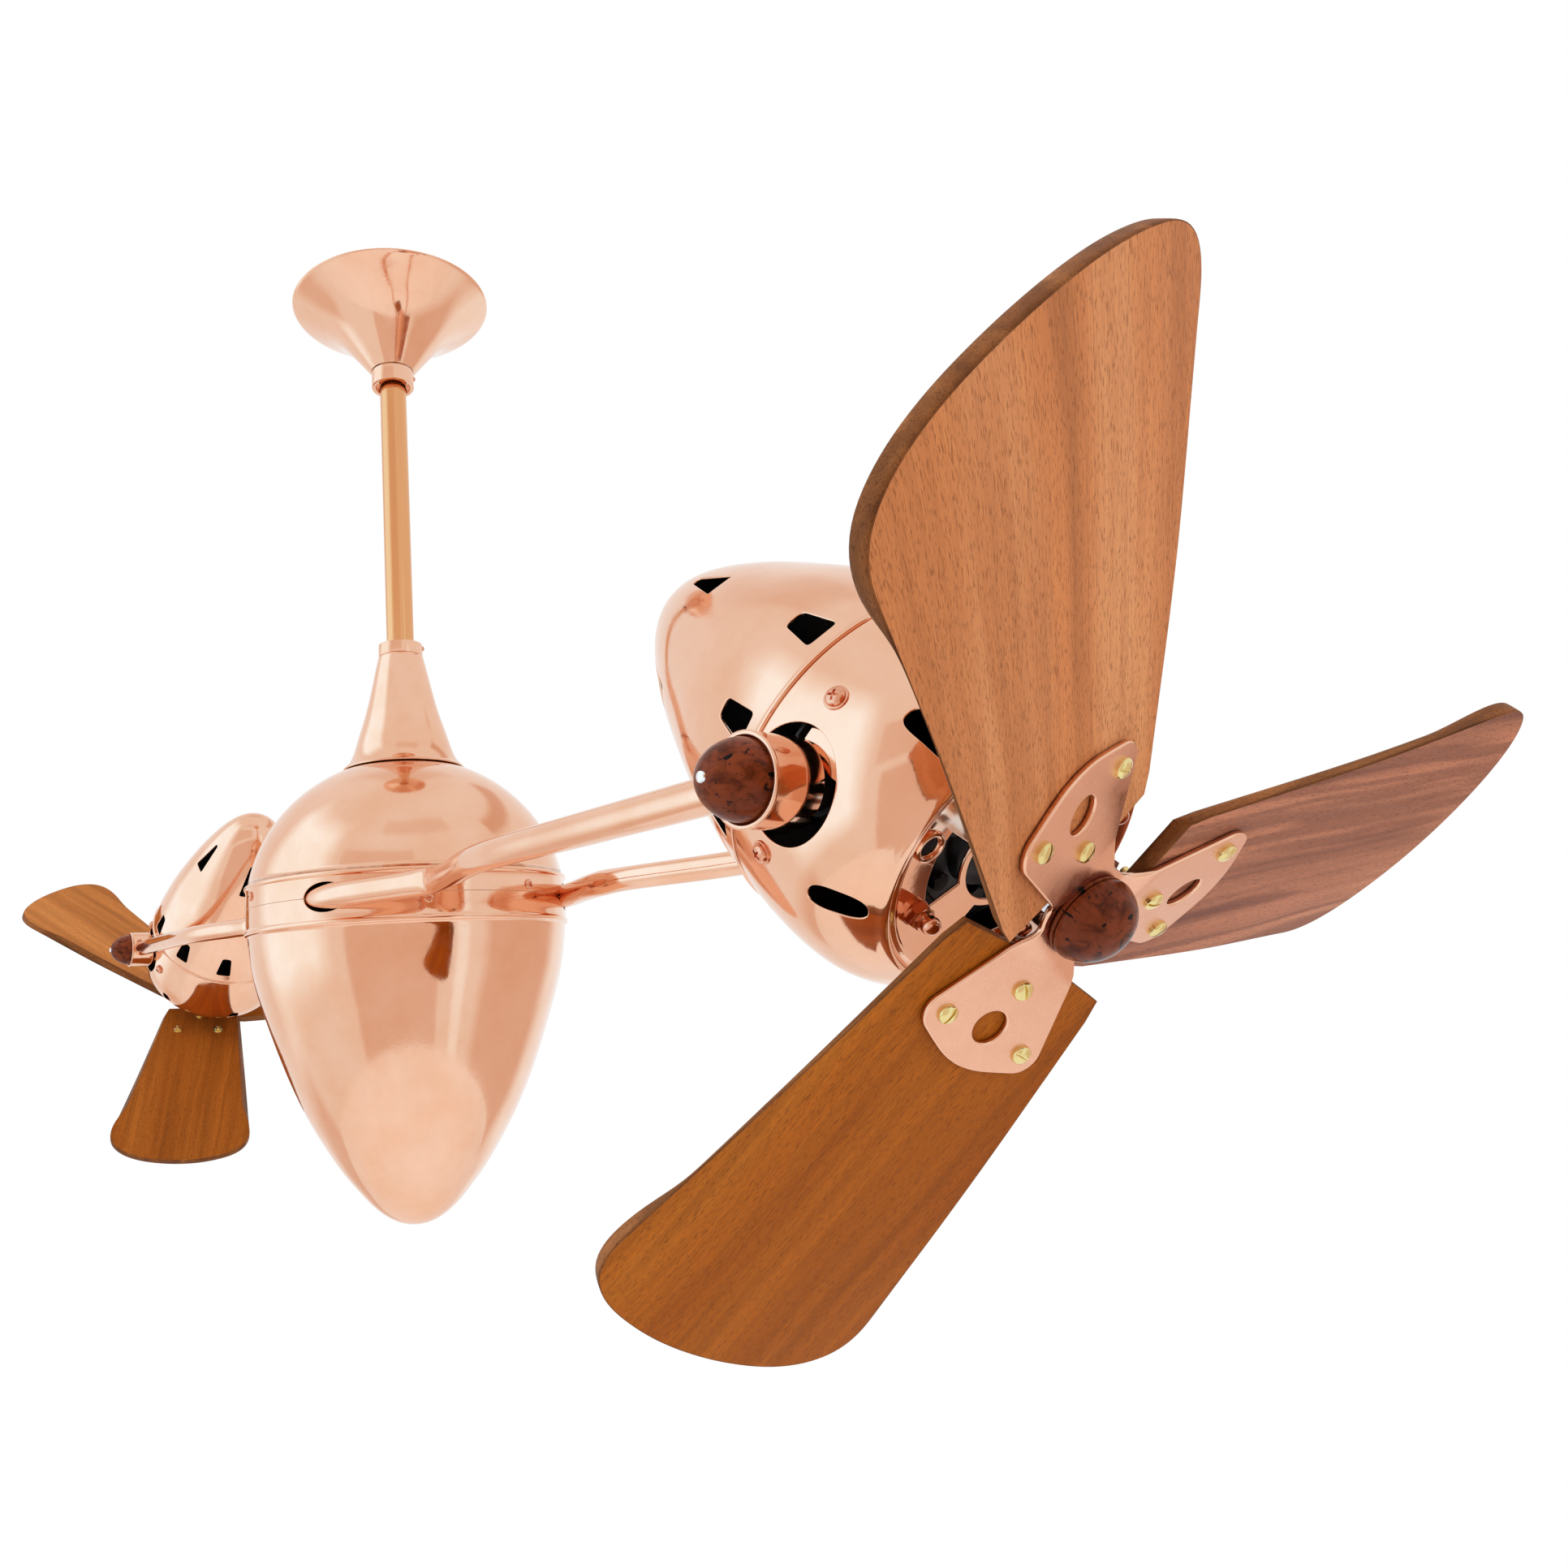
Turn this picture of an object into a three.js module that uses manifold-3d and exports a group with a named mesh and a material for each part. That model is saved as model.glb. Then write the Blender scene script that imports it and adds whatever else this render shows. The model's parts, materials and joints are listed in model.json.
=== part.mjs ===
// Ceiling fan with a turning carousel: two tilting heads, each with a three-blade wooden rotor.
// Millimetres. The ceiling is z = 0 and everything hangs below it; +X runs along the arms to the right head.
import * as THREE from 'three';
import { mergeVertices } from 'three/addons/utils/BufferGeometryUtils.js';
import Module from 'manifold-3d';

const wasm = await Module();
wasm.setup();

// Overall layout.
const seamZ = -500;
const armReach = 490.7;
const headTilt = 41.1;
const fitGap = 0.3;
const sheet = 1.4;

// Downrod and canopy.
const rodRadius = 10.65;
const rodBore = 8.2;
const collarRadius = 17.2;
const canopyRim = 80.3;
const ballRadius = 17.5;
const ballZ = -28.6;
const rodTopZ = -14;
const rodEndZ = -380;
const setScrewTurn = 65;

// Pod.
const podRadius = 118.7;
const podDomeHeight = 112;
const armHoleRadius = 9.4;

// Arms and knuckles.
const tubeRadius = 6.9;
const tubeBore = 5.4;
const cupRadius = 17.7;
const cupInner = 76.7;
const cupOuter = 97.3;
const knobRadius = 15.6;
const knobTip = 116;
const stubRadius = 9;
const pivotRadius = 6;

// Heads, along their own axis from the tilt axis.
const capSeam = -26;
const motorRadius = 46;
const facePlateZ = 45.3;

// Rotors.
const petalFaceZ = 82.8;
const petalSheet = 2.5;
const bladeThickness = 6;
const bladePitch = 13;
const screwInner = 34.4;
const screwOuter = 55.1;
const screwSide = 21.3;
const hubRadius = 18.3;
const rotorTurn = { right: -40.9, left: 163.1 };

const copper = { color: 0xe2a583, roughness: 0.18, metalness: 1 };
const copperDark = { color: 0xc9835f, roughness: 0.3, metalness: 1 };
const wood = { color: 0x9a5b33, roughness: 0.5, metalness: 0 };
const burl = { color: 0x5a2a20, roughness: 0.25, metalness: 0 };
const steel = { color: 0xa9abad, roughness: 0.4, metalness: 1 };
const black = { color: 0x141416, roughness: 0.5, metalness: 0.2 };
const plastic = { color: 0x2c2c30, roughness: 0.6, metalness: 0 };

const group = new THREE.Group();
group.name = 'rotating_two_head_ceiling_fan';

const radians = THREE.MathUtils.degToRad;

function volumeOf(points, faces) {
  let total = 0;
  for (let i = 0; i < faces.length; i += 3) {
    const [a, b, c] = [faces[i] * 3, faces[i + 1] * 3, faces[i + 2] * 3];
    total += points[a] * (points[b + 1] * points[c + 2] - points[b + 2] * points[c + 1]);
    total += points[a + 1] * (points[b + 2] * points[c] - points[b] * points[c + 2]);
    total += points[a + 2] * (points[b] * points[c + 1] - points[b + 1] * points[c]);
  }
  return total / 6;
}

// A closed solid from a geometry: shared corners joined, empty triangles dropped, facing out.
function solid(geometry) {
  geometry.deleteAttribute('normal');
  geometry.deleteAttribute('uv');
  const joined = mergeVertices(geometry, 1e-4);
  const points = Float32Array.from(joined.attributes.position.array);
  const all = joined.index.array;
  const faces = [];
  for (let i = 0; i < all.length; i += 3) {
    const [a, b, c] = [all[i], all[i + 1], all[i + 2]];
    if (a !== b && b !== c && c !== a) faces.push(a, b, c);
  }
  if (volumeOf(points, faces) < 0) faces.reverse();
  const mesh = new wasm.Mesh({ numProp: 3, vertProperties: points, triVerts: Uint32Array.from(faces) });
  return new wasm.Manifold(mesh);
}

// A named mesh from a solid, in the frame of its parent group.
function body(name, shape, look, parent) {
  const mesh = shape.getMesh();
  const points = new Float32Array(mesh.numVert * 3);
  for (let i = 0; i < mesh.numVert; i += 1) {
    for (let k = 0; k < 3; k += 1) points[i * 3 + k] = mesh.vertProperties[i * mesh.numProp + k];
  }
  const geometry = new THREE.BufferGeometry();
  geometry.setAttribute('position', new THREE.BufferAttribute(points, 3));
  geometry.setIndex(Array.from(mesh.triVerts));
  geometry.computeVertexNormals();
  const item = new THREE.Mesh(geometry, new THREE.MeshStandardMaterial(look));
  item.name = name;
  parent.add(item);
  return item;
}

// A nested frame: moved by [x, y, z], then turned in degrees about Z and about its own Y and X.
function frame(parent, [x, y, z], turnZ = 0, turnY = 0, turnX = 0) {
  const item = new THREE.Group();
  item.position.set(x, y, z);
  item.rotation.set(radians(turnX), radians(turnY), radians(turnZ), 'ZYX');
  parent.add(item);
  return item;
}

// Turned about Z from [radius, height] pairs.
function turned(profile, segments) {
  const points = profile.map(([radius, height]) => new THREE.Vector2(radius, height));
  return solid(new THREE.LatheGeometry(points, segments).rotateX(Math.PI / 2));
}

function cylinder(radius, low, high, segments) {
  const shape = new THREE.CylinderGeometry(radius, radius, high - low, segments);
  return solid(shape.rotateX(Math.PI / 2).translate(0, 0, (low + high) / 2));
}

function tubeAlongZ(outer, inner, low, high, segments) {
  return turned([[outer, low], [outer, high], [inner, high], [inner, low], [outer, low]], segments);
}

function box(x0, x1, y0, y1, z0, z1) {
  const shape = new THREE.BoxGeometry(x1 - x0, y1 - y0, z1 - z0);
  return solid(shape.translate((x0 + x1) / 2, (y0 + y1) / 2, (z0 + z1) / 2));
}

// A flat outline of [x, y] corners thickened from z = low to z = high.
function plate(outline, low, high) {
  const shape = new THREE.Shape(outline.map(([x, y]) => new THREE.Vector2(x, y)));
  const flat = new THREE.ExtrudeGeometry(shape, { depth: high - low, bevelEnabled: false });
  return solid(flat.translate(0, 0, low));
}

// Thin sheet under an outer profile of [radius, height] pairs that is listed from its high end down.
function shell(outer, thickness, segments) {
  const last = outer.length - 1;
  const inner = outer.map(([radius, height], i) => {
    const [r0, h0] = outer[Math.max(i - 1, 0)];
    const [r1, h1] = outer[Math.min(i + 1, last)];
    const scale = thickness / Math.hypot(r1 - r0, h1 - h0);
    return [Math.max(radius + (h1 - h0) * scale, 0), height - (r1 - r0) * scale];
  });
  return turned([...outer, ...inner.reverse(), outer[0]], segments);
}

function around(count, start, make) {
  let total = null;
  for (let i = 0; i < count; i += 1) {
    const piece = make().rotate([0, 0, start + (360 / count) * i]);
    total = total ? total.add(piece) : piece;
  }
  return total;
}

function ring(radiusX, radiusY, count) {
  const outline = [];
  for (let i = 0; i < count; i += 1) {
    const angle = (2 * Math.PI * i) / count;
    outline.push([radiusX * Math.cos(angle), radiusY * Math.sin(angle)]);
  }
  return outline;
}

// Moves a solid by a three.js matrix.
function moved(shape, matrix) {
  return shape.transform(matrix.elements);
}

function shift(x, y, z) {
  return new THREE.Matrix4().makeTranslation(x, y, z);
}

// Lays a piece made along +Z out along +Y (side = 1) or -Y (side = -1).
function sideways(side) {
  return new THREE.Matrix4().makeRotationX((-side * Math.PI) / 2);
}

function shelved(profile) {
  return profile.map(([radius, height]) => [radius, height + seamZ]);
}

function addCeilingSet() {
  const bar = box(-60, 60, -17, 17, -3, 0);
  const slot = plate(ring(7, 2.6, 10), -4, 1);
  const socket = turned([[24, -2.5], [20.5, -2.5], [20.5, -38], [15, -38], [15, -41], [24, -41], [24, -2.5]], 16);
  const strap = bar.add(socket).subtract(cylinder(5, -4, 1, 12).translate([33, 0, 0]));
  const slots = slot.translate([49, 0, 0]).add(slot.translate([-49, 0, 0]));
  body('ceiling_bracket', strap.subtract(slots), steel, group);

  const sphere = solid(new THREE.SphereGeometry(ballRadius, 12, 8).rotateX(Math.PI / 2));
  const pinHole = moved(cylinder(3.2, -30, 30, 10), sideways(1)).translate([0, 0, ballZ]);
  const ball = sphere.translate([0, 0, ballZ]).subtract(cylinder(rodRadius + fitGap, -60, 0, 14));
  body('hanger_ball', ball.subtract(pinHole), black, group);
  body('hanger_pin', cylinder(2.9, -16.5, 16.5, 10), steel, frame(group, [0, 0, ballZ], 0, 0, -90));

  const rod = tubeAlongZ(rodRadius, rodBore, rodEndZ, rodTopZ, 16);
  body('downrod', rod.subtract(pinHole), copperDark, group);
}

function addCanopy() {
  const profile = [[canopyRim, -1.5], [canopyRim, -2.6], [77, -5], [62.5, -13.5], [48.5, -24],
    [37, -36], [27, -47.5], [20.2, -56.5], [17.6, -60]];
  body('canopy', shell(profile, 1.3, 24), copper, group);

  const canopyCollar = turned([[collarRadius, 6.6], [10.95, 6.6], [10.95, -2], [13.8, -2],
    [13.8, -6.5], [collarRadius, -6.5], [collarRadius, 6.6]], 16);
  const neckCollar = tubeAlongZ(collarRadius, 10.95, -4.9, 4.8, 16);
  const screwHole = moved(cylinder(2.3, 5, 25, 10), new THREE.Matrix4().makeRotationY(Math.PI / 2));
  for (const [name, collar, height] of [['canopy', canopyCollar, -67.5], ['neck', neckCollar, seamZ + 200.2]]) {
    const place = frame(group, [0, 0, height], setScrewTurn);
    body(`${name}_collar`, collar.subtract(screwHole.translate([0, 0, 2])), copper, place);
    body(`${name}_set_screw`, cylinder(2, 11.1, 18.4, 10), copperDark, frame(place, [0, 0, 2], 0, 90));
  }
}

function addNeckAndSpindle() {
  const bell = shelved([[17.4, 195], [19.8, 185], [24, 166], [29.2, 146], [39.8, 115], [46.4, 105.2]]);
  body('neck_bell', shell(bell, sheet, 20), copper, group);

  const spindle = shelved([[0, 150], [7.9, 150], [7.9, 119.5], [13, 119.5], [13, 94], [11.7, 94],
    [11.7, -30], [8, -30], [8, -46], [0, -46]]);
  body('spindle', turned(spindle, 14), steel, group);
  const pod = frame(group, [0, 0, seamZ]);
  const nut = cylinder(13, -43, -31, 6).subtract(cylinder(8 + fitGap, -50, -20, 18));
  body('spindle_nut', nut, steel, pod);
  body('slip_ring', tubeAlongZ(26, 12, 44, 78, 18), plastic, pod);
}

// The tube path on the side y > 0 of the right head, in plan.
function tubePath(side) {
  const corners = [[22, 94], [58, 93.5], [75, 91.5], [105, 83], [150, 68.5], [172, 64.5], [195, 66.5],
    [225, 74.5], [262, 84.5], [290, 88], [340, 88.5], [armReach, 88]];
  return new THREE.CatmullRomCurve3(corners.map(([x, y]) => new THREE.Vector3(x, side * y, 0)));
}

function armTube(side) {
  const section = new THREE.Shape(ring(tubeRadius, tubeRadius, 8).map(([x, y]) => new THREE.Vector2(x, y)));
  const bore = ring(tubeBore, tubeBore, 5).map(([x, y]) => new THREE.Vector2(x, y));
  section.holes.push(new THREE.Path(bore));
  const tube = solid(new THREE.ExtrudeGeometry(section, {
    steps: 18, bevelEnabled: false, extrudePath: tubePath(side),
  }));
  const cup = moved(cylinder(cupRadius + fitGap, 60, 120, 20), sideways(side));
  return tube.subtract(cup.translate([armReach, 0, 0])).subtract(box(armReach, armReach + 30, -120, 120, -20, 20));
}

function tubeHoles(radius) {
  let holes = null;
  for (const turn of [0, 180]) {
    for (const side of [1, -1]) {
      const along = new THREE.Matrix4().makeRotationY(Math.PI / 2);
      const matrix = shift(52, side * 94, 0).multiply(
        new THREE.Matrix4().makeRotationZ(-side * 0.2)).multiply(along);
      const hole = moved(cylinder(radius, 0, 70, 10), matrix).rotate([0, 0, turn]);
      holes = holes ? holes.add(hole) : hole;
    }
  }
  return holes;
}

function addPod(carousel) {
  const height = (radius) => podDomeHeight * Math.sqrt(1 - (radius / podRadius) ** 2);
  const crown = [26, 46, 66, 86, 102, 113].map((radius) => [radius, height(radius)]);
  const upper = [...crown, [117.4, 19.5], [119.9, 15.5], [podRadius, 12], [podRadius, 0.2]];
  const holes = tubeHoles(armHoleRadius);
  body('pod_upper_shell', shell(upper, sheet, 26).subtract(holes), copper, carousel);

  const lower = [[podRadius, -0.2], [podRadius, -13.5], [119.9, -17], [117.6, -21],
    [112.5, -52], [95, -106], [63.7, -170], [39.1, -203.5], [24, -219.5], [0, -226.9]];
  body('pod_lower_shell', shell(lower, sheet, 26).subtract(holes), copper, carousel);
}

function addCarrier(carousel) {
  let carrier = turned([[12.2, -16], [115.8, -16], [115.8, -10], [40, -10], [34, 30], [12.2, 30], [12.2, -16]], 24);
  const blocks = box(22, 46, -104, -84, -12, 10);
  const mirrored = box(22, 46, 84, 104, -12, 10);
  carrier = carrier.add(blocks).add(mirrored).add(blocks.rotate([0, 0, 180])).add(mirrored.rotate([0, 0, 180]));
  const bores = moved(cylinder(tubeRadius + 0.8, 16, 60, 10), new THREE.Matrix4().makeRotationY(Math.PI / 2));
  for (const [turn, y] of [[0, 94], [0, -94], [180, 94], [180, -94]]) {
    carrier = carrier.subtract(bores.translate([0, y, 0]).rotate([0, 0, turn]));
  }
  carrier = carrier.subtract(cylinder(22.3, 15, 40, 20)).subtract(cylinder(22.3, -20, -7, 20));
  body('arm_carrier', carrier, steel, carousel);
  body('upper_bearing', tubeAlongZ(22, 12, 15.3, 29.5, 20), steel, carousel);
  body('lower_bearing', tubeAlongZ(22, 12, -20, -7.3, 20), steel, carousel);
  body('brush_block', box(26.5, 37, -9, 9, 30.3, 70), plastic, carousel);
}

const heads = [{ name: 'right', turn: 0 }, { name: 'left', turn: 180 }];

function sideName(head, side) {
  return (head.name === 'right') === (side < 0) ? 'front' : 'back';
}

function addArms(carousel) {
  const cup = turned([[cupRadius, cupInner], [cupRadius, cupOuter], [knobRadius + fitGap, cupOuter],
    [knobRadius + fitGap, 85], [pivotRadius + fitGap, 85], [pivotRadius + fitGap, cupInner],
    [cupRadius, cupInner]], 18);
  const knob = turned([[0, 91], [knobRadius, 91], [knobRadius, 98], [14.2, 104.5], [9.6, 111],
    [4.6, 115], [0, knobTip]], 14);
  for (const head of heads) {
    const place = frame(carousel, [0, 0, 0], head.turn);
    for (const side of [1, -1]) {
      const name = `${head.name}_${sideName(head, side)}`;
      const knuckle = frame(place, [armReach, 0, 0], 0, 0, -90 * side);
      body(`${name}_arm_tube`, armTube(side), copper, place);
      body(`${name}_knuckle_cup`, cup, copper, knuckle);
      body(`${name}_knuckle_knob`, knob, burl, knuckle);
    }
  }
}

// The head's own frame: +Z is the rotor's axis, pointing out, and -X is up.
function headFrame(carousel, head) {
  return frame(frame(carousel, [0, 0, 0], head.turn), [armReach, 0, 0], 0, 90 + headTilt);
}

// A window cutter whose outline lies across [across, along] and that points out at azimuth 0.
function window(outline, reach, z, lean) {
  const cutter = plate(outline, reach - 22, reach + 22);
  const matrix = shift(0, 0, z).multiply(new THREE.Matrix4().makeRotationY(Math.PI / 2 - lean));
  return moved(cutter, matrix);
}

// Azimuths are from the head's up direction, positive towards +Y.
function upTurned(azimuth) {
  return 180 - azimuth;
}

function rearCap() {
  const profile = [[75, -26.3], [70.8, -55], [58, -102], [43, -141.5], [29, -167], [16, -180.5],
    [0, -185]];
  const wide = [[11.5, -7.8], [11.5, 7.8], [-11, 5], [-11, -5]];
  const slim = [[11, -5.5], [11, 5.5], [-10, 2.5], [-10, -2.5]];
  const seamSlots = around(10, upTurned(-52), () => window(wide.map(([u, v]) => [-u, v]), 73, -41.5, 0));
  const tipSlots = around(5, upTurned(-47.5), () => window(slim.map(([u, v]) => [-u, v]), 41, -141, 0));
  return shell(profile, sheet, 20).subtract(seamSlots).subtract(tipSlots);
}

function frontCap() {
  const profile = [[20, facePlateZ], [54.5, facePlateZ], [58.5, 48.4], [62.5, 45], [70.8, 35],
    [76.2, 18], [77.2, 2], [75.2, -26]];
  const kidney = ring(11, 6.8, 8);
  const kidneys = around(6, upTurned(-112), () => window(kidney, 74, 13, radians(17)));
  const sector = [];
  for (const [radius, angles] of [[38.5, [-28, 0, 28]], [22, [28, -28]]]) {
    for (const angle of angles) {
      sector.push([radius * Math.cos(radians(angle)), radius * Math.sin(radians(angle))]);
    }
  }
  const windows = around(4, upTurned(-103), () => plate(sector, 40, 50));
  const pivotOpening = moved(cylinder(24, -90, 90, 14), sideways(1));
  return shell(profile, sheet, 20).subtract(kidneys).subtract(windows).subtract(pivotOpening);
}

function addHeads(frames) {
  const rear = rearCap();
  const front = frontCap();
  const motor = turned([[0, -36], [28, -36], [42, -32], [motorRadius, -27], [motorRadius, 27], [42, 33],
    [20, 35], [6.1, 35], [6.1, 12], [0, 12]], 20);
  const cradleRing = tubeAlongZ(50, motorRadius + fitGap, -7, 7, 20);
  const boss = moved(cylinder(12, 47.8, 60, 12), sideways(1));
  const lug = box(48.5, 73.8, -3.5, 3.5, -5, 3);
  let cradle = cradleRing.add(boss).add(boss.rotate([180, 0, 0]));
  for (const azimuth of [-116, -64, 64, 116]) cradle = cradle.add(lug.rotate([0, 0, upTurned(azimuth)]));
  const stubHole = moved(cylinder(stubRadius + fitGap, -80, 80, 12), sideways(1));
  cradle = cradle.subtract(stubHole);
  const stub = turned([[0, 47.2], [stubRadius, 47.2], [stubRadius, 76.4], [pivotRadius, 76.4],
    [pivotRadius, 90.4], [0, 90.4]], 12);
  heads.forEach((head, i) => {
    body(`${head.name}_rear_cap`, rear, copper, frames[i]);
    body(`${head.name}_front_cap`, front, copper, frames[i]);
    body(`${head.name}_motor`, motor, black, frames[i]);
    body(`${head.name}_motor_cradle`, cradle, copperDark, frames[i]);
    for (const side of [1, -1]) {
      const name = `${head.name}_${sideName(head, side)}_pivot_stub`;
      body(name, stub, steel, frame(frames[i], [0, 0, 0], 0, 0, -90 * side));
    }
  });
}

// One petal with its outline along +X, its face at z = 0.
function petal() {
  const corner = [-112, -82, -52, -22].map(radians).map((angle) => [
    screwOuter + 8.5 * Math.cos(angle), -screwSide + 8.5 * Math.sin(angle)]);
  const lower = [[9, -11], ...corner, [68.6, -12]];
  const upper = lower.map(([x, y]) => [x, -y]).reverse();
  const outline = [...lower, [70, 0], ...upper];
  const holes = plate(ring(6.2, 6.2, 10), -5, 2).translate([52, 0, 0]);
  return plate(outline, -petalSheet, 0).subtract(holes);
}

// Turns a petal, made along +X with its lateral axis +Y, to its own azimuth and pitch.
function petalMatrix(azimuth) {
  const turn = new THREE.Matrix4().makeRotationZ(radians(upTurned(azimuth)));
  const pitch = new THREE.Matrix4().makeRotationX(radians(bladePitch));
  return shift(0, 0, petalFaceZ).multiply(turn).multiply(pitch);
}

function spider(start) {
  let shape = cylinder(hubRadius, 76.8, 81.4, 18);
  for (let i = 0; i < 3; i += 1) shape = shape.add(moved(petal(), petalMatrix(start + 120 * i)));
  return shape.subtract(tubeAlongZ(hubRadius + 0.6, 5.9, 81.4, 95, 18)).subtract(cylinder(5.9, 70, 90, 12));
}

function blade() {
  const leading = [[24, -38], [33, -41], [120, -55], [184, -65.5], [195, -66.5], [203, -63.5],
    [210.5, -56], [216.5, -43], [220, -24], [221.5, 0]];
  const trailing = [[219.5, 28], [215.5, 48], [209.5, 62], [202, 69.5], [194, 71.5], [183, 70.5],
    [120, 57.5], [33, 41.5], [24, 38], [21.5, 0]];
  return plate([...leading, ...trailing], -petalSheet - fitGap - bladeThickness, -petalSheet - fitGap);
}

function addRotors(frames) {
  const shaft = turned([[0, 14], [5.6, 14], [5.6, 70.5], [hubRadius, 70.5], [hubRadius, 76.5], [5.6, 76.5],
    [5.6, 92], [0, 92]], 12);
  const base = tubeAlongZ(hubRadius, 6, 81.7, 85.2, 16);
  const cap = turned([[0, 92.4], [6.2, 92.4], [6.2, 85.5], [hubRadius, 85.5], [17, 91],
    [12.5, 97.8], [6.5, 101.4], [0, 102.6]], 16);
  heads.forEach((head, i) => {
    const start = rotorTurn[head.name];
    body(`${head.name}_rotor_shaft`, shaft, steel, frames[i]);
    body(`${head.name}_blade_spider`, spider(start), copper, frames[i]);
    body(`${head.name}_cap_ring`, base, burl, frames[i]);
    body(`${head.name}_hub_cap`, cap, burl, frames[i]);
    for (const k of [0, 1, 2]) {
      const place = frame(frames[i], [0, 0, petalFaceZ], upTurned(start + 120 * k), 0, bladePitch);
      body(`${head.name}_blade_${k + 1}`, blade(), wood, place);
    }
  });
}

const carousel = frame(group, [0, 0, seamZ]);
const headFrames = heads.map((head) => headFrame(carousel, head));

addCeilingSet();
addCanopy();
addNeckAndSpindle();
addPod(carousel);
addCarrier(carousel);
addArms(carousel);
addHeads(headFrames);
addRotors(headFrames);

export default group;
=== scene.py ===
import json
import math

import bmesh
import bpy
import numpy as np
from mathutils import Matrix, Vector
from mathutils.geometry import delaunay_2d_cdt


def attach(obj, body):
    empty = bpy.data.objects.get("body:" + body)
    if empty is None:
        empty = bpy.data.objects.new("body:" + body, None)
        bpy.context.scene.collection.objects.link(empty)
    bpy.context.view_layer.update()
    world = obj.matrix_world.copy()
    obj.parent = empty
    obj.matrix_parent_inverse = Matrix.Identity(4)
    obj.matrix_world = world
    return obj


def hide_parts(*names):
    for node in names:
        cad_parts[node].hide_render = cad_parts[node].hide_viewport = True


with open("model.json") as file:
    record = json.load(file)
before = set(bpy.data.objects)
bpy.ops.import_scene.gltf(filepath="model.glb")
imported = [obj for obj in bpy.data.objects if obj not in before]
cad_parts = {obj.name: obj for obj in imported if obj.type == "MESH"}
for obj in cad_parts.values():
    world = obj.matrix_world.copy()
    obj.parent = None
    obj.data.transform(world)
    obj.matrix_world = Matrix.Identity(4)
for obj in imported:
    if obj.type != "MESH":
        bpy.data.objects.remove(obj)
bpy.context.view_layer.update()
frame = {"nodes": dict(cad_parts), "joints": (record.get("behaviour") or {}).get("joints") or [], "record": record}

# Lengths are in millimetres here and become metres in meshOf. Heights on a head run along its rotor axis.
mm = 0.001
full = 2 * math.pi
seamHeight = frame["joints"][0]["pos_m"][2] * 1000  # the middle of the pod's band, below the ceiling


def splineThrough(points, count, mirrored=False):
    # Smooth in position, slope and curvature, so that reflections run on without a kink.
    start = np.array(points, float)
    knots = start
    if mirrored:  # three points past the axis make the curve cross it level
        knots = np.vstack([start, start[:-1][::-1][:3] * np.array([-1, 1])])
    chord = np.r_[0, np.cumsum(np.linalg.norm(np.diff(knots, axis=0), axis=1))]
    gaps = np.diff(chord)
    size = len(knots)
    system = np.zeros((size, size))
    target = np.zeros_like(knots)
    system[0, 0] = system[-1, -1] = 1
    for i in range(1, size - 1):
        system[i, i - 1:i + 2] = gaps[i - 1], 2 * (gaps[i - 1] + gaps[i]), gaps[i]
        target[i] = 6 * ((knots[i + 1] - knots[i]) / gaps[i] - (knots[i] - knots[i - 1]) / gaps[i - 1])
    bend = np.linalg.solve(system, target)
    at = np.linspace(0, chord[len(start) - 1], count)
    k = np.clip(np.searchsorted(chord, at, side="right") - 1, 0, size - 2)
    h = gaps[k][:, None]
    a = (chord[k + 1] - at)[:, None]
    b = (at - chord[k])[:, None]
    return (
        bend[k] * a ** 3 / (6 * h) + bend[k + 1] * b ** 3 / (6 * h)
        + (knots[k] / h - bend[k] * h / 6) * a + (knots[k + 1] / h - bend[k + 1] * h / 6) * b
    )


def joinRuns(*runs):
    # One outline from several runs of points, without repeated points.
    points = np.vstack([np.array(run, float) for run in runs])
    keep = np.r_[True, np.linalg.norm(np.diff(points, axis=0), axis=1) > 1e-6]
    return points[keep]


def turned(loop, segments=64, closed=True):
    # A body of revolution about Z from a loop of (radius, height) in mm.
    loop = [tuple(point) for point in loop]
    verts, rings = [], []
    for radius, height in loop:
        if radius < 1e-6:
            rings.append([len(verts)] * segments)
            verts.append((0, 0, height))
        else:
            rings.append(list(range(len(verts), len(verts) + segments)))
            for i in range(segments):
                angle = full * i / segments
                verts.append((radius * math.cos(angle), radius * math.sin(angle), height))
    faces = []
    last = len(loop) if closed else len(loop) - 1
    for k in range(last):
        low, high = rings[k], rings[(k + 1) % len(loop)]
        for i in range(segments):
            j = (i + 1) % segments
            corners = []
            for v in (low[i], low[j], high[j], high[i]):
                if v not in corners:
                    corners.append(v)
            if len(corners) > 2:
                faces.append(corners)
    return np.array(verts), faces, None


def rounded(loop, size, steps=3, sharp=()):
    # The loop with its corners cut into small arcs of about that size.
    loop = [np.array(point, float) for point in loop]
    result = []
    for i, point in enumerate(loop):
        before, after = loop[i - 1], loop[(i + 1) % len(loop)]
        u, v = before - point, after - point
        lu, lv = np.linalg.norm(u), np.linalg.norm(v)
        if i in sharp or point[0] < 1e-6 or lu < 1e-6 or lv < 1e-6:
            result.append(point)
            continue
        cut = min(size, lu * 0.45, lv * 0.45)
        a, b = point + u / lu * cut, point + v / lv * cut
        for k in range(steps + 1):
            t = k / steps
            result.append((1 - t) ** 2 * a + 2 * t * (1 - t) * point + t * t * b)
    return result


def insidePolygon(points, outline):
    inside = np.zeros(len(points), bool)
    x, y = points[:, 0], points[:, 1]
    for (x0, y0), (x1, y1) in zip(outline, np.roll(outline, -1, axis=0)):
        crosses = (y0 > y) != (y1 > y)
        if y0 != y1:
            inside ^= crosses & (x < (x1 - x0) * (y - y0) / (y1 - y0) + x0)
    return inside


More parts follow.
